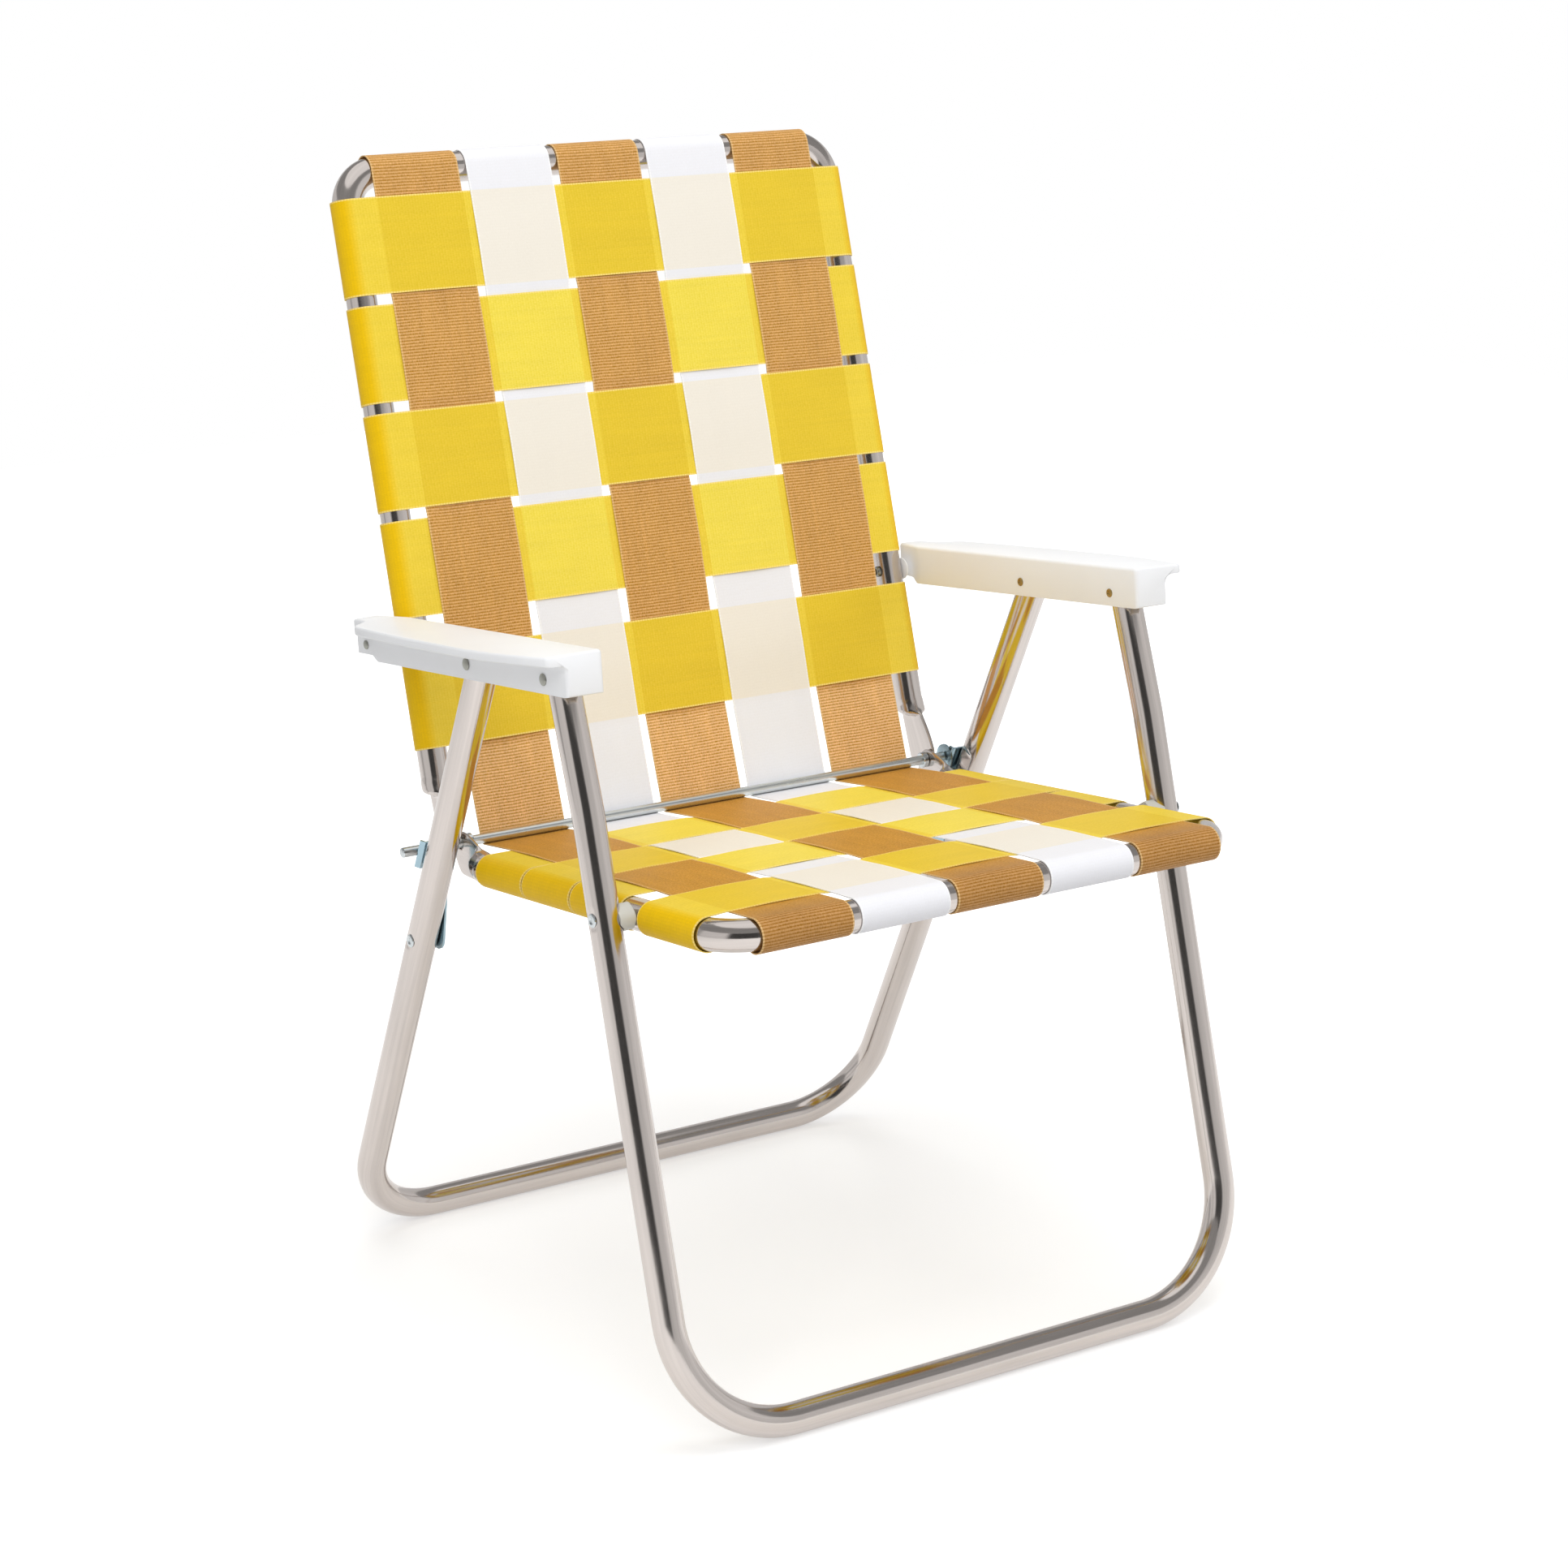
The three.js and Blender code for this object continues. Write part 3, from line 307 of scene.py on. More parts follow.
def webbing(name, ribbed, weave_light_and_shade, paling, relief, streak, selvage_and_light_tone):
    """Woven strap: ribs across it broken into short threads, darker in the grooves and paler where they
    stand up as painted shade and light, uneven along its length, with a pale selvage at both edges that
    is partly painted light, and a tone from the mesh that holds painted light and shade."""
    material, tree, shader = new_material(name)
    across, along = surface_coordinates(tree)
    wander = calc(tree, "MULTIPLY", scaled_noise(tree, across, along, *RIB_WANDER), RIB_PITCH)
    grooves = lines_across(tree, calc(tree, "ADD", along, wander), RIB_PITCH, RIB_SHARPNESS)
    threads = scaled_noise(tree, across, along, 1 / THREAD_PITCH, 1 / RIB_PITCH)
    ribs = calc(tree, "MULTIPLY_ADD", grooves, -ribbed, RIB_MEAN * ribbed)
    fibres = calc(tree, "MULTIPLY_ADD", threads, THREAD_CONTRAST, -THREAD_CONTRAST / 2)
    weave = calc(tree, "ADD", ribs, fibres)
    streaks = scaled_noise(tree, across, along, *WEB_STREAKS)
    patches = scaled_noise(tree, across, along, *WEB_PATCHES)
    uneven = calc(tree, "ADD", calc(tree, "ADD", streaks, patches), -1.0)
    even = calc(tree, "MULTIPLY_ADD", uneven, streak, 1.0)
    # Painted light and shade: the weave pales the colour where it stands up and darkens it in the
    # grooves; the same weave drives the bump.
    light = tree.nodes.new("ShaderNodeCombineXYZ")
    for socket, share in zip(light.inputs, paling):
        tree.links.new(calc(tree, "MULTIPLY_ADD", weave, weave_light_and_shade * share, even), socket)
    shaded = tree.nodes.new("ShaderNodeVectorMath")
    shaded.operation = "MULTIPLY"
    tree.links.new(attribute(tree, "tone", "Color"), shaded.inputs[0])
    tree.links.new(light.outputs[0], shaded.inputs[1])
    # Pale edge band: partly the edge thread's colour, partly painted light where the edges catch and
    # pass light.
    edge = calc(tree, "LESS_THAN", attribute(tree, "edge", "Fac"), SELVAGE_WIDTH)
    stitches = lines_across(tree, along, SELVAGE_STITCH, 1.0)
    pale = calc(tree, "MULTIPLY_ADD", stitches, SELVAGE_STITCH_PALE, SELVAGE_PALE_AND_LIGHT)
    selvage = calc(tree, "MULTIPLY", edge, pale)
    paled = tree.nodes.new("ShaderNodeMix")
    paled.data_type = "RGBA"
    tree.links.new(selvage, paled.inputs["Factor"])
    tree.links.new(shaded.outputs[0], paled.inputs[6])
    paled.inputs[7].default_value = (*linear(*selvage_and_light_tone), 1)
    tree.links.new(paled.outputs[2], shader.inputs["Base Color"])
    shader.inputs["Roughness"].default_value = WEB_ROUGHNESS
    shader.inputs["Specular IOR Level"].default_value = WEB_SPECULAR
    bump(tree, shader, weave, relief, WEB_BUMP)
    return material


def metal(name, colour, roughness, streak):
    """Drawn metal: fine lines along the tube and soft cloudy patches."""
    material, tree, shader = new_material(name)
    around, along = surface_coordinates(tree)
    lines = scaled_noise(tree, around, along, *METAL_LINES)
    bands = scaled_noise(tree, around, along, *METAL_BANDS)
    clouds = scaled_noise(tree, around, along, *METAL_CLOUDS)
    cloudy = calc(tree, "MULTIPLY_ADD", clouds, METAL_CLOUD_TONE, 1 - METAL_CLOUD_TONE / 2)
    worn = calc(tree, "MULTIPLY_ADD", bands, 2 * streak, cloudy)
    light = calc(tree, "MULTIPLY_ADD", lines, streak, calc(tree, "ADD", worn, -1.5 * streak))
    tree.links.new(tinted(tree, linear(*colour), light), shader.inputs["Base Color"])
    smoothest = roughness - (METAL_LINE_ROUGHNESS + METAL_CLOUD_ROUGHNESS) / 2
    fine = calc(tree, "MULTIPLY_ADD", lines, METAL_LINE_ROUGHNESS, smoothest)
    rough = calc(tree, "MULTIPLY_ADD", clouds, METAL_CLOUD_ROUGHNESS, fine)
    tree.links.new(rough, shader.inputs["Roughness"])
    shader.inputs["Metallic"].default_value = 1.0
    bump(tree, shader, lines, METAL_RELIEF, METAL_BUMP)
    return material


def plastic(name, colour, roughness):
    """Moulded plastic with a faint grain."""
    material, tree, shader = new_material(name)
    place = tree.nodes.new("ShaderNodeTexCoord")
    grain = tree.nodes.new("ShaderNodeTexNoise")
    grain.inputs["Scale"].default_value = PLASTIC_GRAIN_SCALE
    tree.links.new(place.outputs["Object"], grain.inputs["Vector"])
    clouds = tree.nodes.new("ShaderNodeTexNoise")
    clouds.inputs["Scale"].default_value = PLASTIC_CLOUD_SCALE
    tree.links.new(place.outputs["Object"], clouds.inputs["Vector"])
    cloud = clouds.outputs[0]
    light = calc(tree, "MULTIPLY_ADD", cloud, PLASTIC_CLOUD_TONE, 1 - PLASTIC_CLOUD_TONE / 2)
    tree.links.new(tinted(tree, linear(*colour), light), shader.inputs["Base Color"])
    smoothest = roughness - PLASTIC_CLOUD_ROUGHNESS / 2
    rough = calc(tree, "MULTIPLY_ADD", cloud, PLASTIC_CLOUD_ROUGHNESS, smoothest)
    tree.links.new(rough, shader.inputs["Roughness"])
    bump(tree, shader, grain.outputs[0], PLASTIC_RELIEF, PLASTIC_BUMP)
    return material


ALUMINIUM = metal("tube_aluminium", (210, 202, 197), 0.15, 0.14)
ZINC = metal("bright_zinc", (208, 214, 216), 0.20, 0.04)
ROD_ZINC = metal("rod_zinc", (220, 224, 223), 0.28, 0.05)
DULL_ZINC = metal("dull_zinc", (158, 158, 150), 0.32, 0.05)
BRASS = metal("brass_rivet", (176, 150, 96), 0.30, 0.05)
BLUE_ZINC = metal("blue_zinc", (168, 194, 206), 0.22, 0.04)
WHITE_PLASTIC = plastic("white_plastic", (243, 244, 246), 0.42)
CLEAR_PLASTIC = plastic("milky_plastic", (196, 195, 187), 0.35)
TAN_WEB = webbing("tan_webbing", 1.0, 0.56, (0.75, 1.0, 2.0), 0.00018, 0.24, (232, 196, 138))
WHITE_WEB = webbing("white_webbing", 0.25, 0.04, (0.9, 1.0, 1.3), 0.00003, 0.02, (250, 250, 250))
YELLOW_WEB = webbing("yellow_webbing", 0.35, 0.13, (0.8, 1.0, 6.0), 0.00003, 0.10, (253, 228, 146))

YELLOW = linear(235, 206, 65)
# Painted light and shade: a yellow strap is lighter where white lies beneath and darker where tan does,
# as light passes through the webbing.
YELLOW_OVER_WHITE_PAINTED_LIGHT = linear(239, 217, 81)
YELLOW_OVER_TAN_PAINTED_SHADE = linear(228, 196, 52)
# Painted shade: deep yellow where the strap wraps round the back of a tube.
YELLOW_WRAP_PAINTED_SHADE = linear(238, 193, 0)
WHITE = linear(236, 236, 240)
# Painted light: white warmed by yellow light coming through from the strap beneath.
WHITE_OVER_YELLOW_PAINTED_LIGHT = linear(238, 232, 220)
TAN = linear(202, 153, 89)
# Painted light: tan over yellow, lit through from the strap beneath, almost the same as plain tan.
TAN_OVER_YELLOW_PAINTED_LIGHT = linear(203, 154, 88)
# Painted shade: darker tan round the seat's front bar.
TAN_FRONT_WRAP_PAINTED_SHADE = linear(178, 130, 72)
# Painted shade: deeper tan on the seat, standing for the grooves' shade seen at a low angle.
TAN_SEAT_PAINTED_SHADE = linear(196, 141, 56)
# Painted light: paler tan and white where the strap hangs free, as if lit through from behind.
TAN_FREE_PAINTED_LIGHT = linear(222, 175, 116)
WHITE_FREE_PAINTED_LIGHT = linear(237, 238, 243)


# Meshes

def smooth_object(name, mesh, material, sharp):
    mesh.materials.append(material)
    mesh.polygons.foreach_set("use_smooth", [True] * len(mesh.polygons))
    mesh.set_sharp_from_angle(angle=math.radians(sharp))
    mesh.update()
    obj = bpy.data.objects.new(name, mesh)
    bpy.context.scene.collection.objects.link(obj)
    return obj


def run_lengths(points):
    """Distance travelled along a row of points, at each of them."""
    steps = np.linalg.norm(np.diff(points, axis=0), axis=1)
    return np.concatenate([[0], np.cumsum(steps)])


def make_mesh(name, points, faces, material, uvs=None, sharp=40):
    """Mesh object from points and faces; uvs holds one pair for each face corner."""
    mesh = bpy.data.meshes.new(name)
    mesh.from_pydata([tuple(p) for p in points], [], faces)
    if uvs is not None:
        layer = mesh.uv_layers.new(name="UVMap")
        layer.data.foreach_set("uv", np.asarray(uvs, np.float32).ravel())
    return smooth_object(name, mesh, material, sharp)


def skin(name, rings, material, sharp=40):
    """Closed skin over rings of equal point count, with a UV map in metres around and along."""
    rings = np.asarray(rings, float)
    count, sides = rings.shape[:2]
    along = run_lengths(rings.mean(axis=1))
    around = np.arange(sides + 1) * 2 * math.pi * TUBE_RADIUS / sides
    faces, uvs = [], []
    for r in range(count - 1):
        for k in range(sides):
            n = (k + 1) % sides
            faces.append((r * sides + k, r * sides + n, (r + 1) * sides + n, (r + 1) * sides + k))
            uvs += [(around[k], along[r]), (around[k + 1], along[r])]
            uvs += [(around[k + 1], along[r + 1]), (around[k], along[r + 1])]
    for r, order in ((0, range(sides - 1, -1, -1)), (count - 1, range(sides))):
        faces.append(tuple(r * sides + k for k in order))
        uvs += [(around[k], along[r]) for k in order]
    obj = make_mesh(name, rings.reshape(-1, 3), faces, material, uvs, sharp)
    face_outward(obj)
    return obj


def face_outward(obj):
    solid = bmesh.new()
    solid.from_mesh(obj.data)
    bmesh.ops.recalc_face_normals(solid, faces=solid.faces)
    solid.to_mesh(obj.data)
    solid.free()


def lathe(name, base, axis, profile, material, sides=32):
    """Round part turned about an axis, from pairs of distance along it and radius."""
    axis = unit(axis)
    side = unit(np.cross(axis, (0.0, 0.0, 1.0) if abs(axis[2]) < 0.9 else (1.0, 0, 0)))
    up = np.cross(axis, side)
    angles = [2 * math.pi * k / sides for k in range(sides)]
    rings = [
        [base + axis * run + radius * (side * math.cos(a) + up * math.sin(a)) for a in angles]
        for run, radius in profile
    ]
    return skin(name, rings, material, 35)


def chamfered(length, radius, run, drop):
    """Profile of a round bar with a chamfer at both ends."""
    return [(0, radius - drop), (run, radius), (length - run, radius), (length, radius - drop)]


def dome(radius, height, steps=6):
    """Profile of a low round head standing on its base."""
    rim = height * 0.3
    pairs = [(0.0, radius), (rim, radius)]
    for k in range(1, steps + 1):
        angle = 0.47 * math.pi * k / steps
        pairs.append((rim + (height - rim) * math.sin(angle), radius * math.cos(angle)))
    return pairs


def hollow_head(radius, height, hollow, depth):
    """Profile of a tubular rivet's head: a rolled rim round a dimple."""
    return [
        (0.0, radius), (height * 0.4, radius), (height * 0.8, radius * 0.93), (height, radius * 0.82),
        (height, hollow * 1.12), (height - depth * 0.3, hollow), (height - depth, hollow * 0.7),
        (height - depth, hollow * 0.1),
    ]


def settle(piece, body, slot, *stands_for):
    """Rides a finished piece on a body, and hides the nodes it stands for; slot, its finish, is not
    used.
    """
    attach(piece, body)
    if stands_for:
        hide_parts(*stands_for)
    return piece


# Frames

def rounded_path(corners, radii):
    path = [corners[0]]
    for before, corner, after, radius in zip(corners, corners[1:], corners[2:], radii):
        back = unit(before - corner)
        ahead = unit(after - corner)
        half = math.acos(float(np.clip(back @ ahead, -1, 1))) / 2
        reach = radius / math.tan(half)
        centre = corner + unit(back + ahead) * radius / math.sin(half)
        start = corner + back * reach - centre
        end = corner + ahead * reach - centre
        sweep_angle = math.pi - 2 * half
        count = max(3, round(BEND_STEPS * sweep_angle / (math.pi / 2)))
        for k in range(count + 1):
            t = sweep_angle * k / count
            share = math.sin(sweep_angle)
            path.append(centre + start * math.sin(sweep_angle - t) / share + end * math.sin(t) / share)
    path.append(corners[-1])
    return path


def plain(points):
    return [{"at": p} for p in points]


def dome_stations(top, ahead):
    """Rounded closed tube end, from the tip down to the full tube."""
    stations = []
    for degrees in DOME_DEGREES:
        angle = math.radians(degrees)
        at = top - ahead * TUBE_RADIUS * math.sin(angle)
        stations.append({"at": at, "radius": TUBE_RADIUS * math.cos(angle)})
    return stations


def ear_stations(tube_end, ahead, side, tube_x, ear_x, reach):
    """Pressed tube end, from its tip back to the round tube."""
    stations = []
    tip = reach + EAR_BEYOND_HINGE
    runs = []
    for degrees in EAR_TIP_DEGREES:
        runs.append(tip - EAR_BEYOND_HINGE * (1 - math.cos(math.radians(degrees))))
    runs += list(np.linspace(reach, 0, EAR_STATIONS)[1:])
    for run in runs:
        share = run / tip
        drift = EAR_DRIFT * ease(share * 1.1)
        at = tube_end + ahead * run + side * drift
        at[0] = -mix(tube_x, ear_x, ease(run / EAR_PRESS_LENGTH))
        wide = mix(EAR_NECK_HALF_WIDTH, EAR_HALF_WIDTH, ease(run / reach))
        past = max(0.0, (run - reach) / EAR_BEYOND_HINGE)
        wide *= math.sqrt(max(0.02, 1 - past * past))
        stations.append({"at": at, "press": run, "wide": wide, "front": side})
    return stations


def tube_ring(station, across, along):
    """One ring of a tube, round or partly pressed flat, as points in space."""
    ring = []
    radius = station.get("radius", TUBE_RADIUS)
    front = math.copysign(1, along @ station["front"]) if "front" in station else 0
    for k in range(TUBE_SIDES):
        angle = 2 * math.pi * (k + 0.5) / TUBE_SIDES
        c, s = math.cos(angle), math.sin(angle)
        u, v = radius * c, radius * s
        if "press" in station:
            lag = EAR_PRESS_LAG * (EAR_LIP_ROUND * c * c + EAR_LIP_SLANT * (1 + front * s) / 2)
            share = ease((station["press"] - lag) / EAR_PRESS_LENGTH)
            flat_u = math.copysign(abs(c) ** 0.5, c) * EAR_HALF_THICKNESS
            flat_v = math.copysign(abs(s) ** 0.8, s) * station["wide"]
            u, v = mix(u, flat_u, share), mix(v, flat_v, share)
        p = station["at"] + across * u + along * v
        if "dent" in station:
            inside = abs(station["at"][0]) - TUBE_RADIUS + station["dent"]
            p[0] = math.copysign(max(abs(p[0]), inside), station["at"][0])
        if "flat" in station:
            outside = abs(station["at"][0]) + TUBE_RADIUS - station["flat"]
            p[0] = math.copysign(min(abs(p[0]), outside), station["at"][0])
        ring.append(p)
    return ring


def pressed(top, ahead, height, length, depth, key):
    """Stations of a straight leg with its inner or outer side pressed in round a height."""
    centre = (height - top[2]) / ahead[2]
    stations = []
    for share in np.linspace(-0.5, 0.5, 13):
        inward = depth * ease((0.5 - abs(share)) * 4)
        stations.append({"at": top + ahead * (centre + share * length), key: inward})
    return stations


def tube_frame(name, half):
    """Symmetric bent tube from the stations of its right half."""
    flip = point(-1, 1, 1)
    far = []
    for station in reversed(half):
        twin = {**station, "at": station["at"] * flip}
        far.append(twin)
    stations = half + far
    places = np.array([s["at"] for s in stations])
    ahead = [unit(b - a) for a, b in zip(places, places[1:])]
    tangents = [ahead[0]] + [unit(a + b) for a, b in zip(ahead, ahead[1:])] + [ahead[-1]]
    across = X_AXIS
    rings = []
    for station, tangent in zip(stations, tangents):
        across = unit(across - tangent * (across @ tangent))
        rings.append(tube_ring(station, across, np.cross(tangent, across)))
    return skin(name, rings, ALUMINIUM, 50)


def drill(piece, y, z, radius):
    """Cuts the hinge bore through a frame's ears."""
    span = 0.5
    profile = [(0, radius), (span, radius)]
    cutter = lathe("bore_tool", point(-span / 2, y, z), X_AXIS, profile, ALUMINIUM)
    cut = piece.modifiers.new("bore", "BOOLEAN")
    cut.operation = "DIFFERENCE"
    cut.object = cutter
    cut.solver = "EXACT"
    bpy.context.view_layer.update()
    graph = bpy.context.evaluated_depsgraph_get()
    bored = bpy.data.meshes.new_from_object(piece.evaluated_get(graph))
    piece.modifiers.clear()
    piece.data = bored
    bpy.data.objects.remove(cutter)


def front_legs():
    top = point(-FRONT_LEG_X, *FRONT_TOP)
    kink = point(-FRONT_LEG_X, *FRONT_KINK)
    corner = point(-FRONT_LEG_X, FRONT_BAR_Y, FLOOR_AXIS_Z)
    middle = point(0, FRONT_BAR_Y, FLOOR_AXIS_Z)
    path = rounded_path([top, kink, corner, middle], [KINK_BEND, FRONT_BEND])
    seat_height = pivots["front_leg_pivot"][2]
    above = [p for p in path if p[2] > seat_height]
    flats = pressed(kink, unit(corner - kink), seat_height, RIVET_FLAT_LENGTH, RIVET_FLAT_DEPTH, "flat")
    below = path[len(above):-1]
    half = dome_stations(top, unit(kink - top)) + plain(above) + flats + plain(below)
    settle(tube_frame("front_leg_tube", half), "front_legs", "tube", "front_leg_frame")


def rear_legs():
    top = pivots["rear_leg_pivot"] + X_AXIS * -REAR_TOP_X
    corner = point(-REAR_BAR_X, REAR_BAR_Y, FLOOR_AXIS_Z)
    middle = point(0, REAR_BAR_Y, FLOOR_AXIS_Z)
    ahead = unit(corner - top)
    path = rounded_path([top, corner, middle], [REAR_BEND])
    lock_height = pivots["right_lock_pivot"][2]
    dents = pressed(top, ahead, hinge[2], REAR_DENT_LENGTH, REAR_DENT_DEPTH, "dent")
    flats = pressed(top, ahead, lock_height, RIVET_FLAT_LENGTH, RIVET_FLAT_DEPTH, "flat")
    half = dome_stations(top, ahead) + [{"at": top}] + dents + flats + plain(path[1:-1])
    settle(tube_frame("rear_leg_tube", half), "rear_legs", "tube", "rear_leg_frame")


def back_frame():
    end = on_back(-back_tube_x(BACK_EAR_START), BACK_EAR_START, 0)
    corner = on_back(-BACK_TOP_X, back_height, 0)
    path = rounded_path([end, corner, on_back(0, back_height, 0)], [BACK_BEND])
    ears = ear_stations(end, -back_up, back_face, -end[0], BACK_EAR_X, BACK_EAR_START)
    tube = tube_frame("back_tube", ears + plain(path[1:-1]))
    drill(tube, hinge[1], hinge[2], ROD_HOLE_RADIUS)
    settle(tube, "back", "tube", "back_frame")


def seat_frame():
    hinge_run = (hinge - SEAT_ORIGIN) @ seat_behind
    end = on_seat(-SEAT_X, hinge_run - SEAT_EAR_START, 0)
    path = rounded_path([end, on_seat(-SEAT_X, 0, 0), on_seat(0, 0, 0)], [SEAT_BEND])
    ears = ear_stations(end, seat_behind, seat_face, SEAT_X, SEAT_EAR_X, SEAT_EAR_START)
    tube = tube_frame("seat_tube", ears + plain(path[1:-1]))
    drill(tube, hinge[1], hinge[2], ROD_HOLE_RADIUS)
    settle(tube, "seat", "tube", "seat_frame")


# Webbing

def extent(node, direction, origin):
    """How far a node's solid reaches along a direction from a point."""
    runs = [(np.array(v.co) - origin) @ direction for v in nodes[node].data.vertices]
    return min(runs), max(runs)


def node_names(start):
    return sorted((n for n in nodes if n.startswith(start)), key=lambda n: int(n.rsplit("_", 1)[1]))


back_rows = [extent(n, back_up, BACK_ORIGIN) for n in node_names("back_cross_strap_")]
seat_rows = [extent(n, seat_behind, SEAT_ORIGIN) for n in node_names("seat_cross_strap_")]
columns = [extent(n, X_AXIS, point(0, 0, 0)) for n in node_names("back_long_strap_")]


def is_tan(column):
    return column % 2 == 0


def column_on_top(panel, column, row):
    """Tan passes under the first back row and over the first seat row, and so on in turn."""
    first = 1 if panel == "back" else 0
    return (row % 2 == first) == is_tan(column)


def weave_height(at, crossings, bow):
    """Height of a strap over the tubes at a distance along it, from the straps it crosses.
    A crossing is (low, high, on_top)."""
    up, down = bow
    before, after = None, None
    for low, high, on_top in crossings:
        level = WRAP_RADIUS + (WEAVE_RISE if on_top else 0)
        if low <= at <= high:
            share = (2 * at - low - high) / (high - low)
            swell = math.cos(share * math.pi / 2) ** 2
            return level + swell * (up if on_top else -down)
        if high < at and (before is None or high > before[0]):
            before = (high, level)
        if low > at and (after is None or low < after[0]):
            after = (low, level)
    if before is None or after is None:
        return (before or after)[1]
    return mix(before[1], after[1], ease((at - before[0]) / (after[0] - before[0])))


def crossing_samples(crossings, steps=10):
    """Places along a strap, close together at both edges of each crossing, with the index
    of the crossing that holds each, or None between two."""
    samples = []
    for index, (low, high, _) in enumerate(crossings):
        samples.append((low - EDGE_STEP, None))
        samples += [(at, index) for at in np.linspace(low + EDGE_STEP, high - EDGE_STEP, steps)]
        samples.append((high + EDGE_STEP, None))
    return samples


def strap(name, lines, tones, material):
    """Closed thin strap over a grid of centre points: one line for each place across it."""
    grid = np.asarray(lines, float)
    rows, count = grid.shape[:2]
    along_way = np.gradient(grid, axis=1)
    across_way = np.gradient(grid, axis=0)
    normal = np.cross(along_way, across_way)
    normal /= np.linalg.norm(normal, axis=2, keepdims=True)
    sheets = [grid + normal * WEB_THICKNESS / 2, grid - normal * WEB_THICKNESS / 2]
    points = np.concatenate([s.reshape(-1, 3) for s in sheets])
    run = run_lengths(grid[rows // 2])
    side = run_lengths(grid[:, count // 2])
    faces, uvs = [], []

    def place(r, k, back):
        return r * count + k + back * rows * count

    def quad(*corners):
        faces.append(tuple(place(*c) for c in corners))
        uvs.extend((side[c[0]], run[c[1]]) for c in corners)

    for r in range(rows - 1):
        for k in range(count - 1):
            quad((r, k, 0), (r, k + 1, 0), (r + 1, k + 1, 0), (r + 1, k, 0))
            quad((r, k, 1), (r + 1, k, 1), (r + 1, k + 1, 1), (r, k + 1, 1))
    for k in range(count - 1):
        quad((0, k, 1), (0, k + 1, 1), (0, k + 1, 0), (0, k, 0))
        last = rows - 1
        quad((last, k, 0), (last, k + 1, 0), (last, k + 1, 1), (last, k, 1))
    for r in range(rows - 1):
        quad((r, 0, 0), (r + 1, 0, 0), (r + 1, 0, 1), (r, 0, 1))
        end = count - 1
        quad((r, end, 1), (r + 1, end, 1), (r + 1, end, 0), (r, end, 0))
    obj = make_mesh(name, points, faces, material, uvs, 50)
    face_outward(obj)
    # The tone holds the strap's colour together with its painted light and shade.
    tone = obj.data.attributes.new("tone", "FLOAT_COLOR", "POINT")
    values = np.ones((2, rows, count, 4), np.float32)
    values[..., :3] = np.asarray(tones, np.float32)
    tone.data.foreach_set("color", values.ravel())
    edge = obj.data.attributes.new("edge", "FLOAT", "POINT")
    inward = np.minimum(side, side[-1] - side)
    edge.data.foreach_set("value", np.tile(np.repeat(inward, count), 2).astype(np.float32))
    return obj, float(side[-1]), float(run[-1])


def column_crossings(panel, column, rows):
    """Where a long strap crosses a panel's rows, and whether it lies on top there."""
    return [(low, high, column_on_top(panel, column, r)) for r, (low, high) in enumerate(rows)]


def cross_strap(panel, row, band):
    """Yellow strap across a panel, wrapped round the outer side of both side tubes."""
    place = on_back if panel == "back" else on_seat
    bow = BACK_BOW if panel == "back" else SEAT_BOW
    crossings = []
    for column, (low, high) in enumerate(columns):
        crossings.append((low, high, not column_on_top(panel, column, row)))
    samples = crossing_samples(crossings)
    # Painted shade: the yellow deepens as the strap turns round the tube, away from the light.
    wrap_shade_tones = []
    for k in range(WRAP_STEPS):
        depth = ease((WRAP_ANGLE * (1 - k / WRAP_STEPS) - WRAP_SHADE_START) / WRAP_SHADE_LENGTH)
        wrap_shade_tones.append(tuple(np.array(YELLOW) * (1 - depth) + np.array(YELLOW_WRAP_PAINTED_SHADE) * depth))
    tones = wrap_shade_tones + [YELLOW] * len(RAMP_SHARES)
    # Painted light and shade where the strap crosses others: lighter over white, darker over tan.
    for _, index in samples:
        tones.append(YELLOW if index is None else YELLOW_OVER_TAN_PAINTED_SHADE if is_tan(index) else YELLOW_OVER_WHITE_PAINTED_LIGHT)
    tones += [YELLOW] * len(RAMP_SHARES) + wrap_shade_tones[::-1]
    lines = []
    for run in np.linspace(band[0], band[1], ACROSS_STEPS + 1):
        tube = back_tube_x(run) if panel == "back" else SEAT_X
        angles = [WRAP_ANGLE * (1 - k / WRAP_STEPS) for k in range(WRAP_STEPS)]
        wrap = [(-tube - WRAP_RADIUS * math.sin(a), WRAP_RADIUS * math.cos(a)) for a in angles]
        edge = samples[0][0]
        edge_height = weave_height(edge, crossings, bow)
        ramp = []
        for share in RAMP_SHARES:
            ramp.append((mix(-tube, edge, share), mix(WRAP_RADIUS, edge_height, ease(share))))
        inner = [(at, weave_height(at, crossings, bow)) for at, _ in samples]
        edge_height = inner[-1][1]
        far_ramp = []
        for share in [1 - s for s in reversed(RAMP_SHARES)]:
            far_ramp.append((mix(-edge, tube, share), mix(edge_height, WRAP_RADIUS, ease(share))))
        far_wrap = [(-x, h) for x, h in reversed(wrap)]
        profile = wrap + ramp + inner + far_ramp + far_wrap
        lines.append([place(x, run, h) for x, h in profile])
    piece, width, length = strap(f"{panel}_cross_web_{row + 1}", lines, tones, YELLOW_WEB)
    settle(piece, panel, "yellow_webbing", f"{panel}_cross_strap_{row + 1}")


def tangent_angle(start, radius, turn):
    """Angle at which a line from a point touches the circle round the hinge, in the YZ plane."""
    y, z = start[1] - hinge[1], start[2] - hinge[2]
    return math.atan2(z, y) + turn * math.acos(radius / math.hypot(y, z))


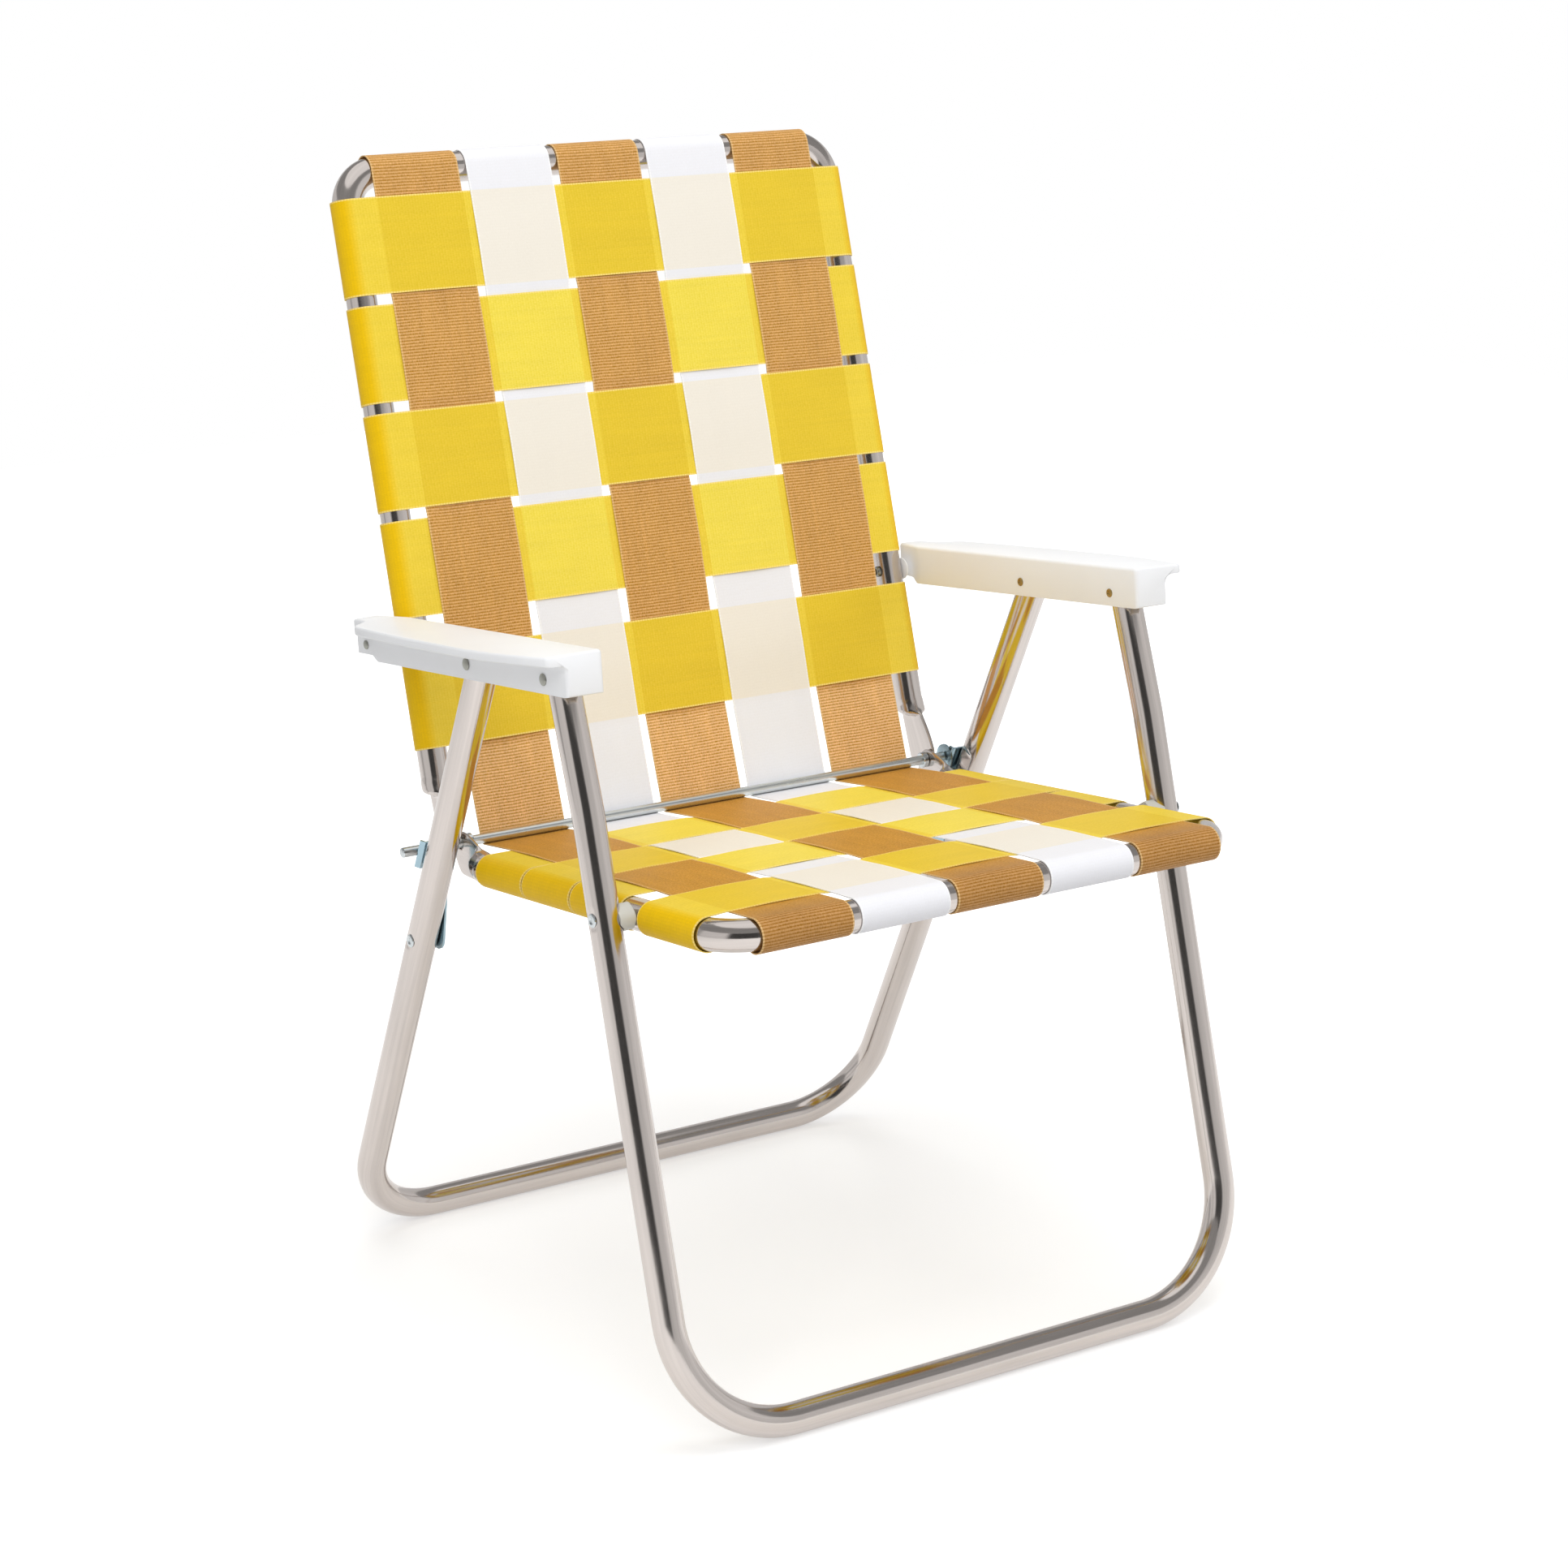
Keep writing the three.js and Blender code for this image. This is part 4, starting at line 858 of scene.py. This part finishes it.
def long_strap(column, span):
    """Strap along the chair: over the top bar, down the back, behind and under the hinge rod,
    along the seat and over its front bar."""
    # Tones along the strap hold painted light and shade: darker tan on the seat and round the front bar,
    # paler where it hangs free, and tinted where it crosses other straps.
    plain_tone = TAN if is_tan(column) else WHITE
    crossed_painted_light = TAN_OVER_YELLOW_PAINTED_LIGHT if is_tan(column) else WHITE_OVER_YELLOW_PAINTED_LIGHT
    seat_tone = TAN_SEAT_PAINTED_SHADE if is_tan(column) else WHITE
    seat_crossed_light_and_shade = TAN_SEAT_PAINTED_SHADE if is_tan(column) else WHITE_OVER_YELLOW_PAINTED_LIGHT
    free_painted_light = TAN_FREE_PAINTED_LIGHT if is_tan(column) else WHITE_FREE_PAINTED_LIGHT
    front_tone = TAN_FRONT_WRAP_PAINTED_SHADE if is_tan(column) else WHITE
    back_crossings = column_crossings("back", column, back_rows)
    seat_crossings = column_crossings("seat", column, seat_rows)
    path, tones = [], []

    def note(place, tone):
        path.append(place)
        tones.append(tone)

    for k in range(WRAP_STEPS + 1):
        angle = WRAP_ANGLE * (1 - k / WRAP_STEPS)
        run = back_height + WRAP_RADIUS * math.sin(angle)
        note(on_back(0, run, WRAP_RADIUS * math.cos(angle)), plain_tone)
    for at, index in sorted(crossing_samples(back_crossings), reverse=True):
        height = weave_height(at, back_crossings, BACK_BOW)
        note(on_back(0, at, height), plain_tone if index is None else crossed_painted_light)
    seat_samples = sorted(crossing_samples(seat_crossings), reverse=True)
    first = seat_samples[0][0]
    seat_start = on_seat(0, first, weave_height(first, seat_crossings, SEAT_BOW))
    rod_reach = ROD_RADIUS + WEB_GAP + WEB_THICKNESS / 2
    leave = tangent_angle(path[-1], rod_reach, -1)
    turn_back = (leave - tangent_angle(seat_start, rod_reach, 1)) % (2 * math.pi)
    turns = np.linspace(leave, leave - turn_back, 10)
    rod_arc = [hinge + rod_reach * point(0, math.cos(a), math.sin(a)) for a in turns]
    back_end = path[-1]
    for share in np.linspace(0, 1, 12)[1:-1]:
        note(mix(back_end, rod_arc[0], share), free_painted_light)
    for p in rod_arc:
        note(p, plain_tone)
    for share in np.linspace(0, 1, 8)[1:-1]:
        note(mix(rod_arc[-1], seat_start, share), seat_tone)
    for at, index in seat_samples:
        height = weave_height(at, seat_crossings, SEAT_BOW)
        note(on_seat(0, at, height), seat_tone if index is None else seat_crossed_light_and_shade)
    for k in range(WRAP_STEPS + 1):
        angle = WRAP_ANGLE * k / WRAP_STEPS
        run = -WRAP_RADIUS * math.sin(angle)
        note(on_seat(0, run, WRAP_RADIUS * math.cos(angle)), front_tone)
    lines = [[p + X_AXIS * x for p in path] for x in np.linspace(span[0], span[1], ACROSS_STEPS + 1)]
    material = TAN_WEB if is_tan(column) else WHITE_WEB
    number = column + 1
    piece, width, length = strap(f"long_web_{number}", lines, tones, material)
    "tan_webbing" if is_tan(column) else "white_webbing"
    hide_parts(f"back_long_strap_{number}", f"seat_long_strap_{number}")
    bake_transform(piece)


front_legs()
rear_legs()
back_frame()
seat_frame()
for row, band in enumerate(back_rows):
    cross_strap("back", row, band)
for row, band in enumerate(seat_rows):
    cross_strap("seat", row, band)
for column, span in enumerate(columns):
    long_strap(column, span)


# Hardware

ARM_RIVET_RADIUS = 0.0045
REAR_RIVET_RADIUS = 0.0036
ARM_RIVET_HEIGHT = 0.0018
LEG_RIVET_RADIUS = 0.0052
LEG_RIVET_HEIGHT = 0.0012
LEG_RIVET_HOLLOW = 0.0026
LEG_RIVET_DEPTH = 0.0010
TAIL_RADIUS = 0.0034
TAIL_HEIGHT = 0.0011
TAIL_HOLLOW = 0.0016
TAIL_DEPTH = 0.0009
BOLT_RADIUS = 0.0045
BOLT_HEIGHT = 0.0026
BOLT_HOLLOW = 0.0025
BOLT_DEPTH = 0.0022
PAD_TAPER = 0.7
PAD_DROP = 0.0022
SCREW_RADIUS = 0.0036
SCREW_HEIGHT = 0.0012
SCREW_ANGLE = math.radians(203)
ROD_CHAMFER = 0.0008
COLLAR_SIZES = {"length": 0.005, "radius": 0.0065, "run": 0.0006, "drop": 0.0007}
WASHER_SIZES = {"length": 0.001, "radius": 0.009, "run": 0.0002, "drop": 0.0004}
PIN_TIP = ((0.0012, 0.0), (0.0004, 0.0006), (0.0, 0.0014))
PLATE_ROUNDING = 0.0004
ARM_ROUNDING = 0.0007
PAD_ROUNDING = 0.0012
LEG_RIVETS = (("seat_pivot", "seat_rivet", "front_legs"), ("lock_pivot", "bracket_rivet", "rear_legs"))


def moulded(name, node, body, slot, material, rounding, sharp=35):
    """Copy of a node's solid with welded points and rounded edges."""
    solid = bmesh.new()
    solid.from_mesh(nodes[node].data)
    bmesh.ops.remove_doubles(solid, verts=solid.verts, dist=1e-6)
    bmesh.ops.dissolve_limit(solid, angle_limit=math.radians(1), verts=solid.verts, edges=solid.edges)
    shared = [e for e in solid.edges if len(e.link_faces) == 2]
    corners = [e for e in shared if e.calc_face_angle() > math.radians(sharp)]
    bmesh.ops.bevel(
        solid, geom=corners, offset=rounding, segments=3, affect="EDGES", profile=0.5, clamp_overlap=True
    )
    mesh = bpy.data.meshes.new(name)
    solid.to_mesh(mesh)
    solid.free()
    return settle(smooth_object(name, mesh, material, 40), body, slot, node)


def centre_of(node):
    low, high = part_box(node)
    return np.array((low + high) / 2)


def turned_like(name, node, sign, profile, body, slot, material):
    """Round part on the same axis and base as a node, facing away from the middle for sign 1."""
    low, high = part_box(node)
    middle = centre_of(node)
    inner = min(abs(low[0]), abs(high[0]))
    outer = max(abs(low[0]), abs(high[0]))
    side = math.copysign(1, middle[0])
    middle[0] = side * (inner if sign > 0 else outer)
    piece = lathe(name, middle, X_AXIS * side * sign, profile, material)
    return settle(piece, body, slot, node)


def hinge_hardware():
    low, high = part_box("hinge_rod")
    length = high[0] - low[0]
    profile = chamfered(length, ROD_RADIUS, ROD_CHAMFER, ROD_CHAMFER)
    rod = lathe("hinge_rod_bar", point(low[0], hinge[1], hinge[2]), X_AXIS, profile, ROD_ZINC)
    settle(rod, "back", "zinc", "hinge_rod")
    for side, _ in SIDES:
        collar = chamfered(**COLLAR_SIZES)
        turned_like(f"rod_ring_{side}", f"rod_collar_{side}", 1, collar, "back", "zinc", ZINC)
        body = f"{side}_lock"
        low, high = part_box(f"lock_pin_{side}")
        length = high[0] - low[0]
        pin = [(0, ROD_RADIUS)]
        pin += [(length - before_end, ROD_RADIUS - drop) for before_end, drop in PIN_TIP]
        turned_like(f"lock_stud_{side}", f"lock_pin_{side}", 1, pin, body, "zinc", ZINC)
        bracket = f"lock_bracket_{side}"
        moulded(f"lock_plate_{side}", bracket, body, "bracket_steel", BLUE_ZINC, PLATE_ROUNDING)


def rivet_tail(name, node, body):
    """Peened end of an armrest rivet on the inner wall, on the axis of its head."""
    side = math.copysign(1, centre_of(node)[0])
    low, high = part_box("armrest_left")
    start = centre_of(node)
    start[0] = side * min(abs(low[0]), abs(high[0]))
    tail = hollow_head(TAIL_RADIUS, TAIL_HEIGHT, TAIL_HOLLOW, TAIL_DEPTH)
    piece = lathe(name, start, X_AXIS * -side, tail, BRASS)
    settle(piece, body, "zinc")


def armrests():
    for side, _ in SIDES:
        body = f"{side}_arm"
        shell = f"armrest_shell_{side}"
        moulded(shell, f"armrest_{side}", body, "arm_plastic", WHITE_PLASTIC, ARM_ROUNDING)
        for place in ("front", "middle", "rear"):
            node = f"armrest_rivet_{place}_{side}"
            radius = REAR_RIVET_RADIUS if place == "rear" else ARM_RIVET_RADIUS
            head = dome(radius, ARM_RIVET_HEIGHT)
            turned_like(f"arm_rivet_{place}_{side}", node, 1, head, body, "zinc", DULL_ZINC)
            if place != "rear":
                rivet_tail(f"arm_rivet_tail_{place}_{side}", node, body)
        washer = chamfered(**WASHER_SIZES)
        node = f"armrest_washer_{side}"
        turned_like(f"arm_washer_{side}", node, 1, washer, "back", "arm_plastic", WHITE_PLASTIC)
        bolt = hollow_head(BOLT_RADIUS, BOLT_HEIGHT, BOLT_HOLLOW, BOLT_DEPTH)
        turned_like(f"arm_bolt_{side}", f"armrest_bolt_{side}", -1, bolt, "back", "zinc", DULL_ZINC)


def leg_pad(side):
    """Milky saddle between seat tube and leg, worn narrower towards its top."""
    node = f"leg_spacer_{side}"
    pad = moulded(f"leg_pad_{side}", node, "front_legs", "arm_plastic", CLEAR_PLASTIC, PAD_ROUNDING)
    middle = centre_of(node)
    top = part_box(node)[1][2]
    for vertex in pad.data.vertices:
        rise = max(0.0, (vertex.co.z - middle[2]) / (top - middle[2]))
        vertex.co.y = middle[1] + (vertex.co.y - middle[1]) * (1 - PAD_TAPER * rise * rise)
        vertex.co.z -= PAD_DROP * rise


def leg_hardware():
    for side, _ in SIDES:
        for piece, node, body in LEG_RIVETS:
            head = hollow_head(LEG_RIVET_RADIUS, LEG_RIVET_HEIGHT, LEG_RIVET_HOLLOW, LEG_RIVET_DEPTH)
            turned_like(f"{piece}_{side}", f"{node}_{side}", 1, head, body, "zinc", ZINC)
        leg_pad(side)


def strap_screw(name, tube, outward, body):
    """Pan head that holds a strap's end to the far side of a tube."""
    reach = WRAP_RADIUS + WEB_THICKNESS / 2
    piece = lathe(name, tube + outward * reach, outward, dome(SCREW_RADIUS, SCREW_HEIGHT), ZINC, 20)
    settle(piece, body, "zinc")


def strap_screws():
    """Two ends of every strap, screwed down where the wraps end."""
    turn, lift = math.sin(SCREW_ANGLE), math.cos(SCREW_ANGLE)
    for panel, rows, place, face in (
        ("back", back_rows, on_back, back_face), ("seat", seat_rows, on_seat, seat_face)
    ):
        for row, (low, high) in enumerate(rows):
            run = (low + high) / 2
            tube_x = back_tube_x(run) if panel == "back" else SEAT_X
            for side, sign in SIDES:
                outward = X_AXIS * sign * turn + face * lift
                tube = place(sign * tube_x, run, 0)
                strap_screw(f"{panel}_screw_{row + 1}_{side}", tube, outward, panel)
    for column, (low, high) in enumerate(columns):
        x = (low + high) / 2
        top = back_up * turn + back_face * lift
        strap_screw(f"top_bar_screw_{column + 1}", on_back(x, back_height, 0), top, "back")
        front = -seat_behind * turn + seat_face * lift
        strap_screw(f"front_bar_screw_{column + 1}", on_seat(x, 0, 0), front, "seat")


hinge_hardware()
armrests()
leg_hardware()
strap_screws()


# Camera, light and floor

PHOTO_AZIMUTH = math.radians(-33.13)
PHOTO_ELEVATION = math.radians(15.06)
PHOTO_ROLL = math.radians(-0.50)
CAMERA_PLACE = (-1.4564, -2.23565, 1.1266)
LENS_MM = 80.65
WORLD_LIGHT = 0.42
WORLD_SEEN = 1.0


def camera():
    a, e, r = PHOTO_AZIMUTH, PHOTO_ELEVATION, PHOTO_ROLL
    back = Vector((math.sin(a) * math.cos(e), -math.cos(a) * math.cos(e), math.sin(e)))
    right = Vector((math.cos(a), math.sin(a), 0))
    up = back.cross(right)
    rolled_right = right * math.cos(r) + up * math.sin(r)
    rolled_up = up * math.cos(r) - right * math.sin(r)
    data = bpy.data.cameras.new("camera")
    data.lens = LENS_MM
    data.sensor_width = 36
    obj = bpy.data.objects.new("camera", data)
    turn = Matrix((rolled_right, rolled_up, back)).transposed().to_4x4()
    obj.matrix_world = Matrix.Translation(CAMERA_PLACE) @ turn
    bpy.context.scene.collection.objects.link(obj)
    bpy.context.scene.camera = obj


def world():
    scene_world = bpy.data.worlds.new("studio")
    bpy.context.scene.world = scene_world
    scene_world.use_nodes = True
    tree = scene_world.node_tree
    tree.nodes.clear()
    output = tree.nodes.new("ShaderNodeOutputWorld")
    path = tree.nodes.new("ShaderNodeLightPath")
    seen = calc(tree, "MAXIMUM", path.outputs["Is Camera Ray"], path.outputs["Is Glossy Ray"])
    seen = calc(tree, "MAXIMUM", seen, path.outputs["Is Transmission Ray"])
    choose = tree.nodes.new("ShaderNodeMixShader")
    tree.links.new(seen, choose.inputs[0])
    for socket, strength in zip(choose.inputs[1:], (WORLD_LIGHT, WORLD_SEEN)):
        light = tree.nodes.new("ShaderNodeBackground")
        light.inputs["Color"].default_value = (1, 1, 1, 1)
        light.inputs["Strength"].default_value = strength
        tree.links.new(light.outputs[0], socket)
    tree.links.new(choose.outputs[0], output.inputs["Surface"])


# Brightness of the studio walls that the metal mirrors, by degrees to the right of the camera
ROOM_RADIUS = 4.0
ROOM_HEIGHT = 2.4
CEILING_OPENING = 1.3
CEILING_TONE = 0.30
ROOM_TONES = (
    (-180, 0.62), (-92, 0.74), (-86, 0.42), (-80, 0.42), (-74, 0.74), (-33, 0.78), (-27, 0.06),
    (17, 0.06), (24, 0.60), (55, 0.66), (80, 0.80), (180, 0.62),
)


def glow_material(name):
    """Material that only gives off light, with the node that sets its colour."""
    material = bpy.data.materials.new(name)
    material.use_nodes = True
    tree = material.node_tree
    tree.nodes.clear()
    output = tree.nodes.new("ShaderNodeOutputMaterial")
    glow = tree.nodes.new("ShaderNodeEmission")
    tree.links.new(glow.outputs[0], output.inputs["Surface"])
    return material, tree, glow


def mirror_card(name, points, material):
    """Band between two equal rows of points that only mirror rays see."""
    count = len(points) // 2
    faces = [(k, k + 1, count + k + 1, count + k) for k in range(count - 1)]
    card = make_mesh(name, points, faces, material)
    card.visible_camera = False
    card.visible_diffuse = False
    card.visible_shadow = False
    card.visible_transmission = False
    return card


def room():
    """Round studio wall for the mirrors: a dark side behind the camera, and flags."""
    material, tree, glow = glow_material("studio_wall")
    tree.links.new(attribute(tree, "tone", "Color"), glow.inputs["Color"])
    back = point(math.sin(PHOTO_AZIMUTH), -math.cos(PHOTO_AZIMUTH), 0)
    right = point(math.cos(PHOTO_AZIMUTH), math.sin(PHOTO_AZIMUTH), 0)
    angles = np.linspace(-180, 180, 181)
    rows = []
    for height in (0.0, ROOM_HEIGHT):
        for angle in np.radians(angles):
            around = back * math.cos(angle) + right * math.sin(angle)
            rows.append(around * ROOM_RADIUS + point(0, 0, height))
    wall = mirror_card("studio_wall", rows, material)
    values = np.ones((2, len(angles), 4), np.float32)
    values[..., :3] = np.interp(angles, *zip(*ROOM_TONES))[None, :, None]
    tone = wall.data.attributes.new("tone", "FLOAT_COLOR", "POINT")
    tone.data.foreach_set("color", values.ravel())


def ceiling():
    """Dim ceiling for the mirrors, open over the chair where the studio is bright."""
    material, _, glow = glow_material("studio_ceiling")
    glow.inputs["Color"].default_value = (CEILING_TONE, CEILING_TONE, CEILING_TONE, 1)
    angles = np.linspace(0, 2 * math.pi, 49)
    rings = []
    for radius in (CEILING_OPENING, ROOM_RADIUS):
        rings += [point(radius * math.cos(a), radius * math.sin(a), ROOM_HEIGHT) for a in angles]
    card = mirror_card("studio_ceiling", rings, material)


def softbox(name, place, target, size, power):
    data = bpy.data.lights.new(name, "AREA")
    data.shape = "RECTANGLE"
    data.size, data.size_y = size
    data.energy = power
    obj = bpy.data.objects.new(name, data)
    obj.location = place
    obj.rotation_euler = (Vector(target) - Vector(place)).to_track_quat("-Z", "Y").to_euler()
    obj.visible_glossy = False
    bpy.context.scene.collection.objects.link(obj)


FLOOR_ALBEDO = 0.70
FLOOR_NEAR_GLOW = 0.43
FLOOR_FAR_GLOW = 0.85
FLOOR_NEAR = 0.35
FLOOR_FAR = 1.05
FLOOR_MIRROR_GLOW = 0.36


def floor():
    """Pale floor: white to the camera with a faint shadow, and its own light and shade in mirrors."""
    material, tree, shader = new_material("pale_floor")
    path = tree.nodes.new("ShaderNodeLightPath")
    seen = path.outputs["Is Camera Ray"]
    mirrored = path.outputs["Is Glossy Ray"]
    shader.inputs["Base Color"].default_value = (FLOOR_ALBEDO, FLOOR_ALBEDO, FLOOR_ALBEDO, 1)
    shader.inputs["Roughness"].default_value = 0.9
    shader.inputs["Specular IOR Level"].default_value = 0.0
    shader.inputs["Emission Color"].default_value = (1, 1, 1, 1)
    place = tree.nodes.new("ShaderNodeTexCoord")
    distance = tree.nodes.new("ShaderNodeVectorMath")
    distance.operation = "LENGTH"
    tree.links.new(place.outputs["Object"], distance.inputs[0])
    spread = tree.nodes.new("ShaderNodeMapRange")
    spread.interpolation_type = "SMOOTHSTEP"
    tree.links.new(distance.outputs["Value"], spread.inputs["Value"])
    spread.inputs["From Min"].default_value = FLOOR_NEAR
    spread.inputs["From Max"].default_value = FLOOR_FAR
    spread.inputs["To Min"].default_value = FLOOR_NEAR_GLOW
    spread.inputs["To Max"].default_value = FLOOR_FAR_GLOW
    white = calc(tree, "MULTIPLY", seen, spread.outputs["Result"])
    glow = calc(tree, "MULTIPLY_ADD", mirrored, FLOOR_MIRROR_GLOW, white)
    tree.links.new(glow, shader.inputs["Emission Strength"])
    reach = ROOM_RADIUS
    corners = [(-reach, -reach, 0), (reach, -reach, 0), (reach, reach, 0), (-reach, reach, 0)]
    plane = make_mesh("floor", corners, [(0, 1, 2, 3)], material)


camera()
world()
room()
ceiling()
softbox("key", (-2.2, -2.4, 3.2), (0, 0, 0.45), (2.4, 2.0), 50)
softbox("fill", (2.6, -1.6, 2.2), (0, 0, 0.45), (2.0, 2.0), 22)
softbox("top", (0, -0.4, 4.2), (0, 0, 0.45), (3.0, 3.0), 66)
softbox("rear", (1.2, 3.2, 2.4), (0, 0, 0.5), (2.4, 2.0), 30)
softbox("front", (-1.2, -2.4, 0.9), (0, 0, 0.5), (1.6, 1.2), 8)
floor()

bpy.context.scene.view_settings.view_transform = "Standard"
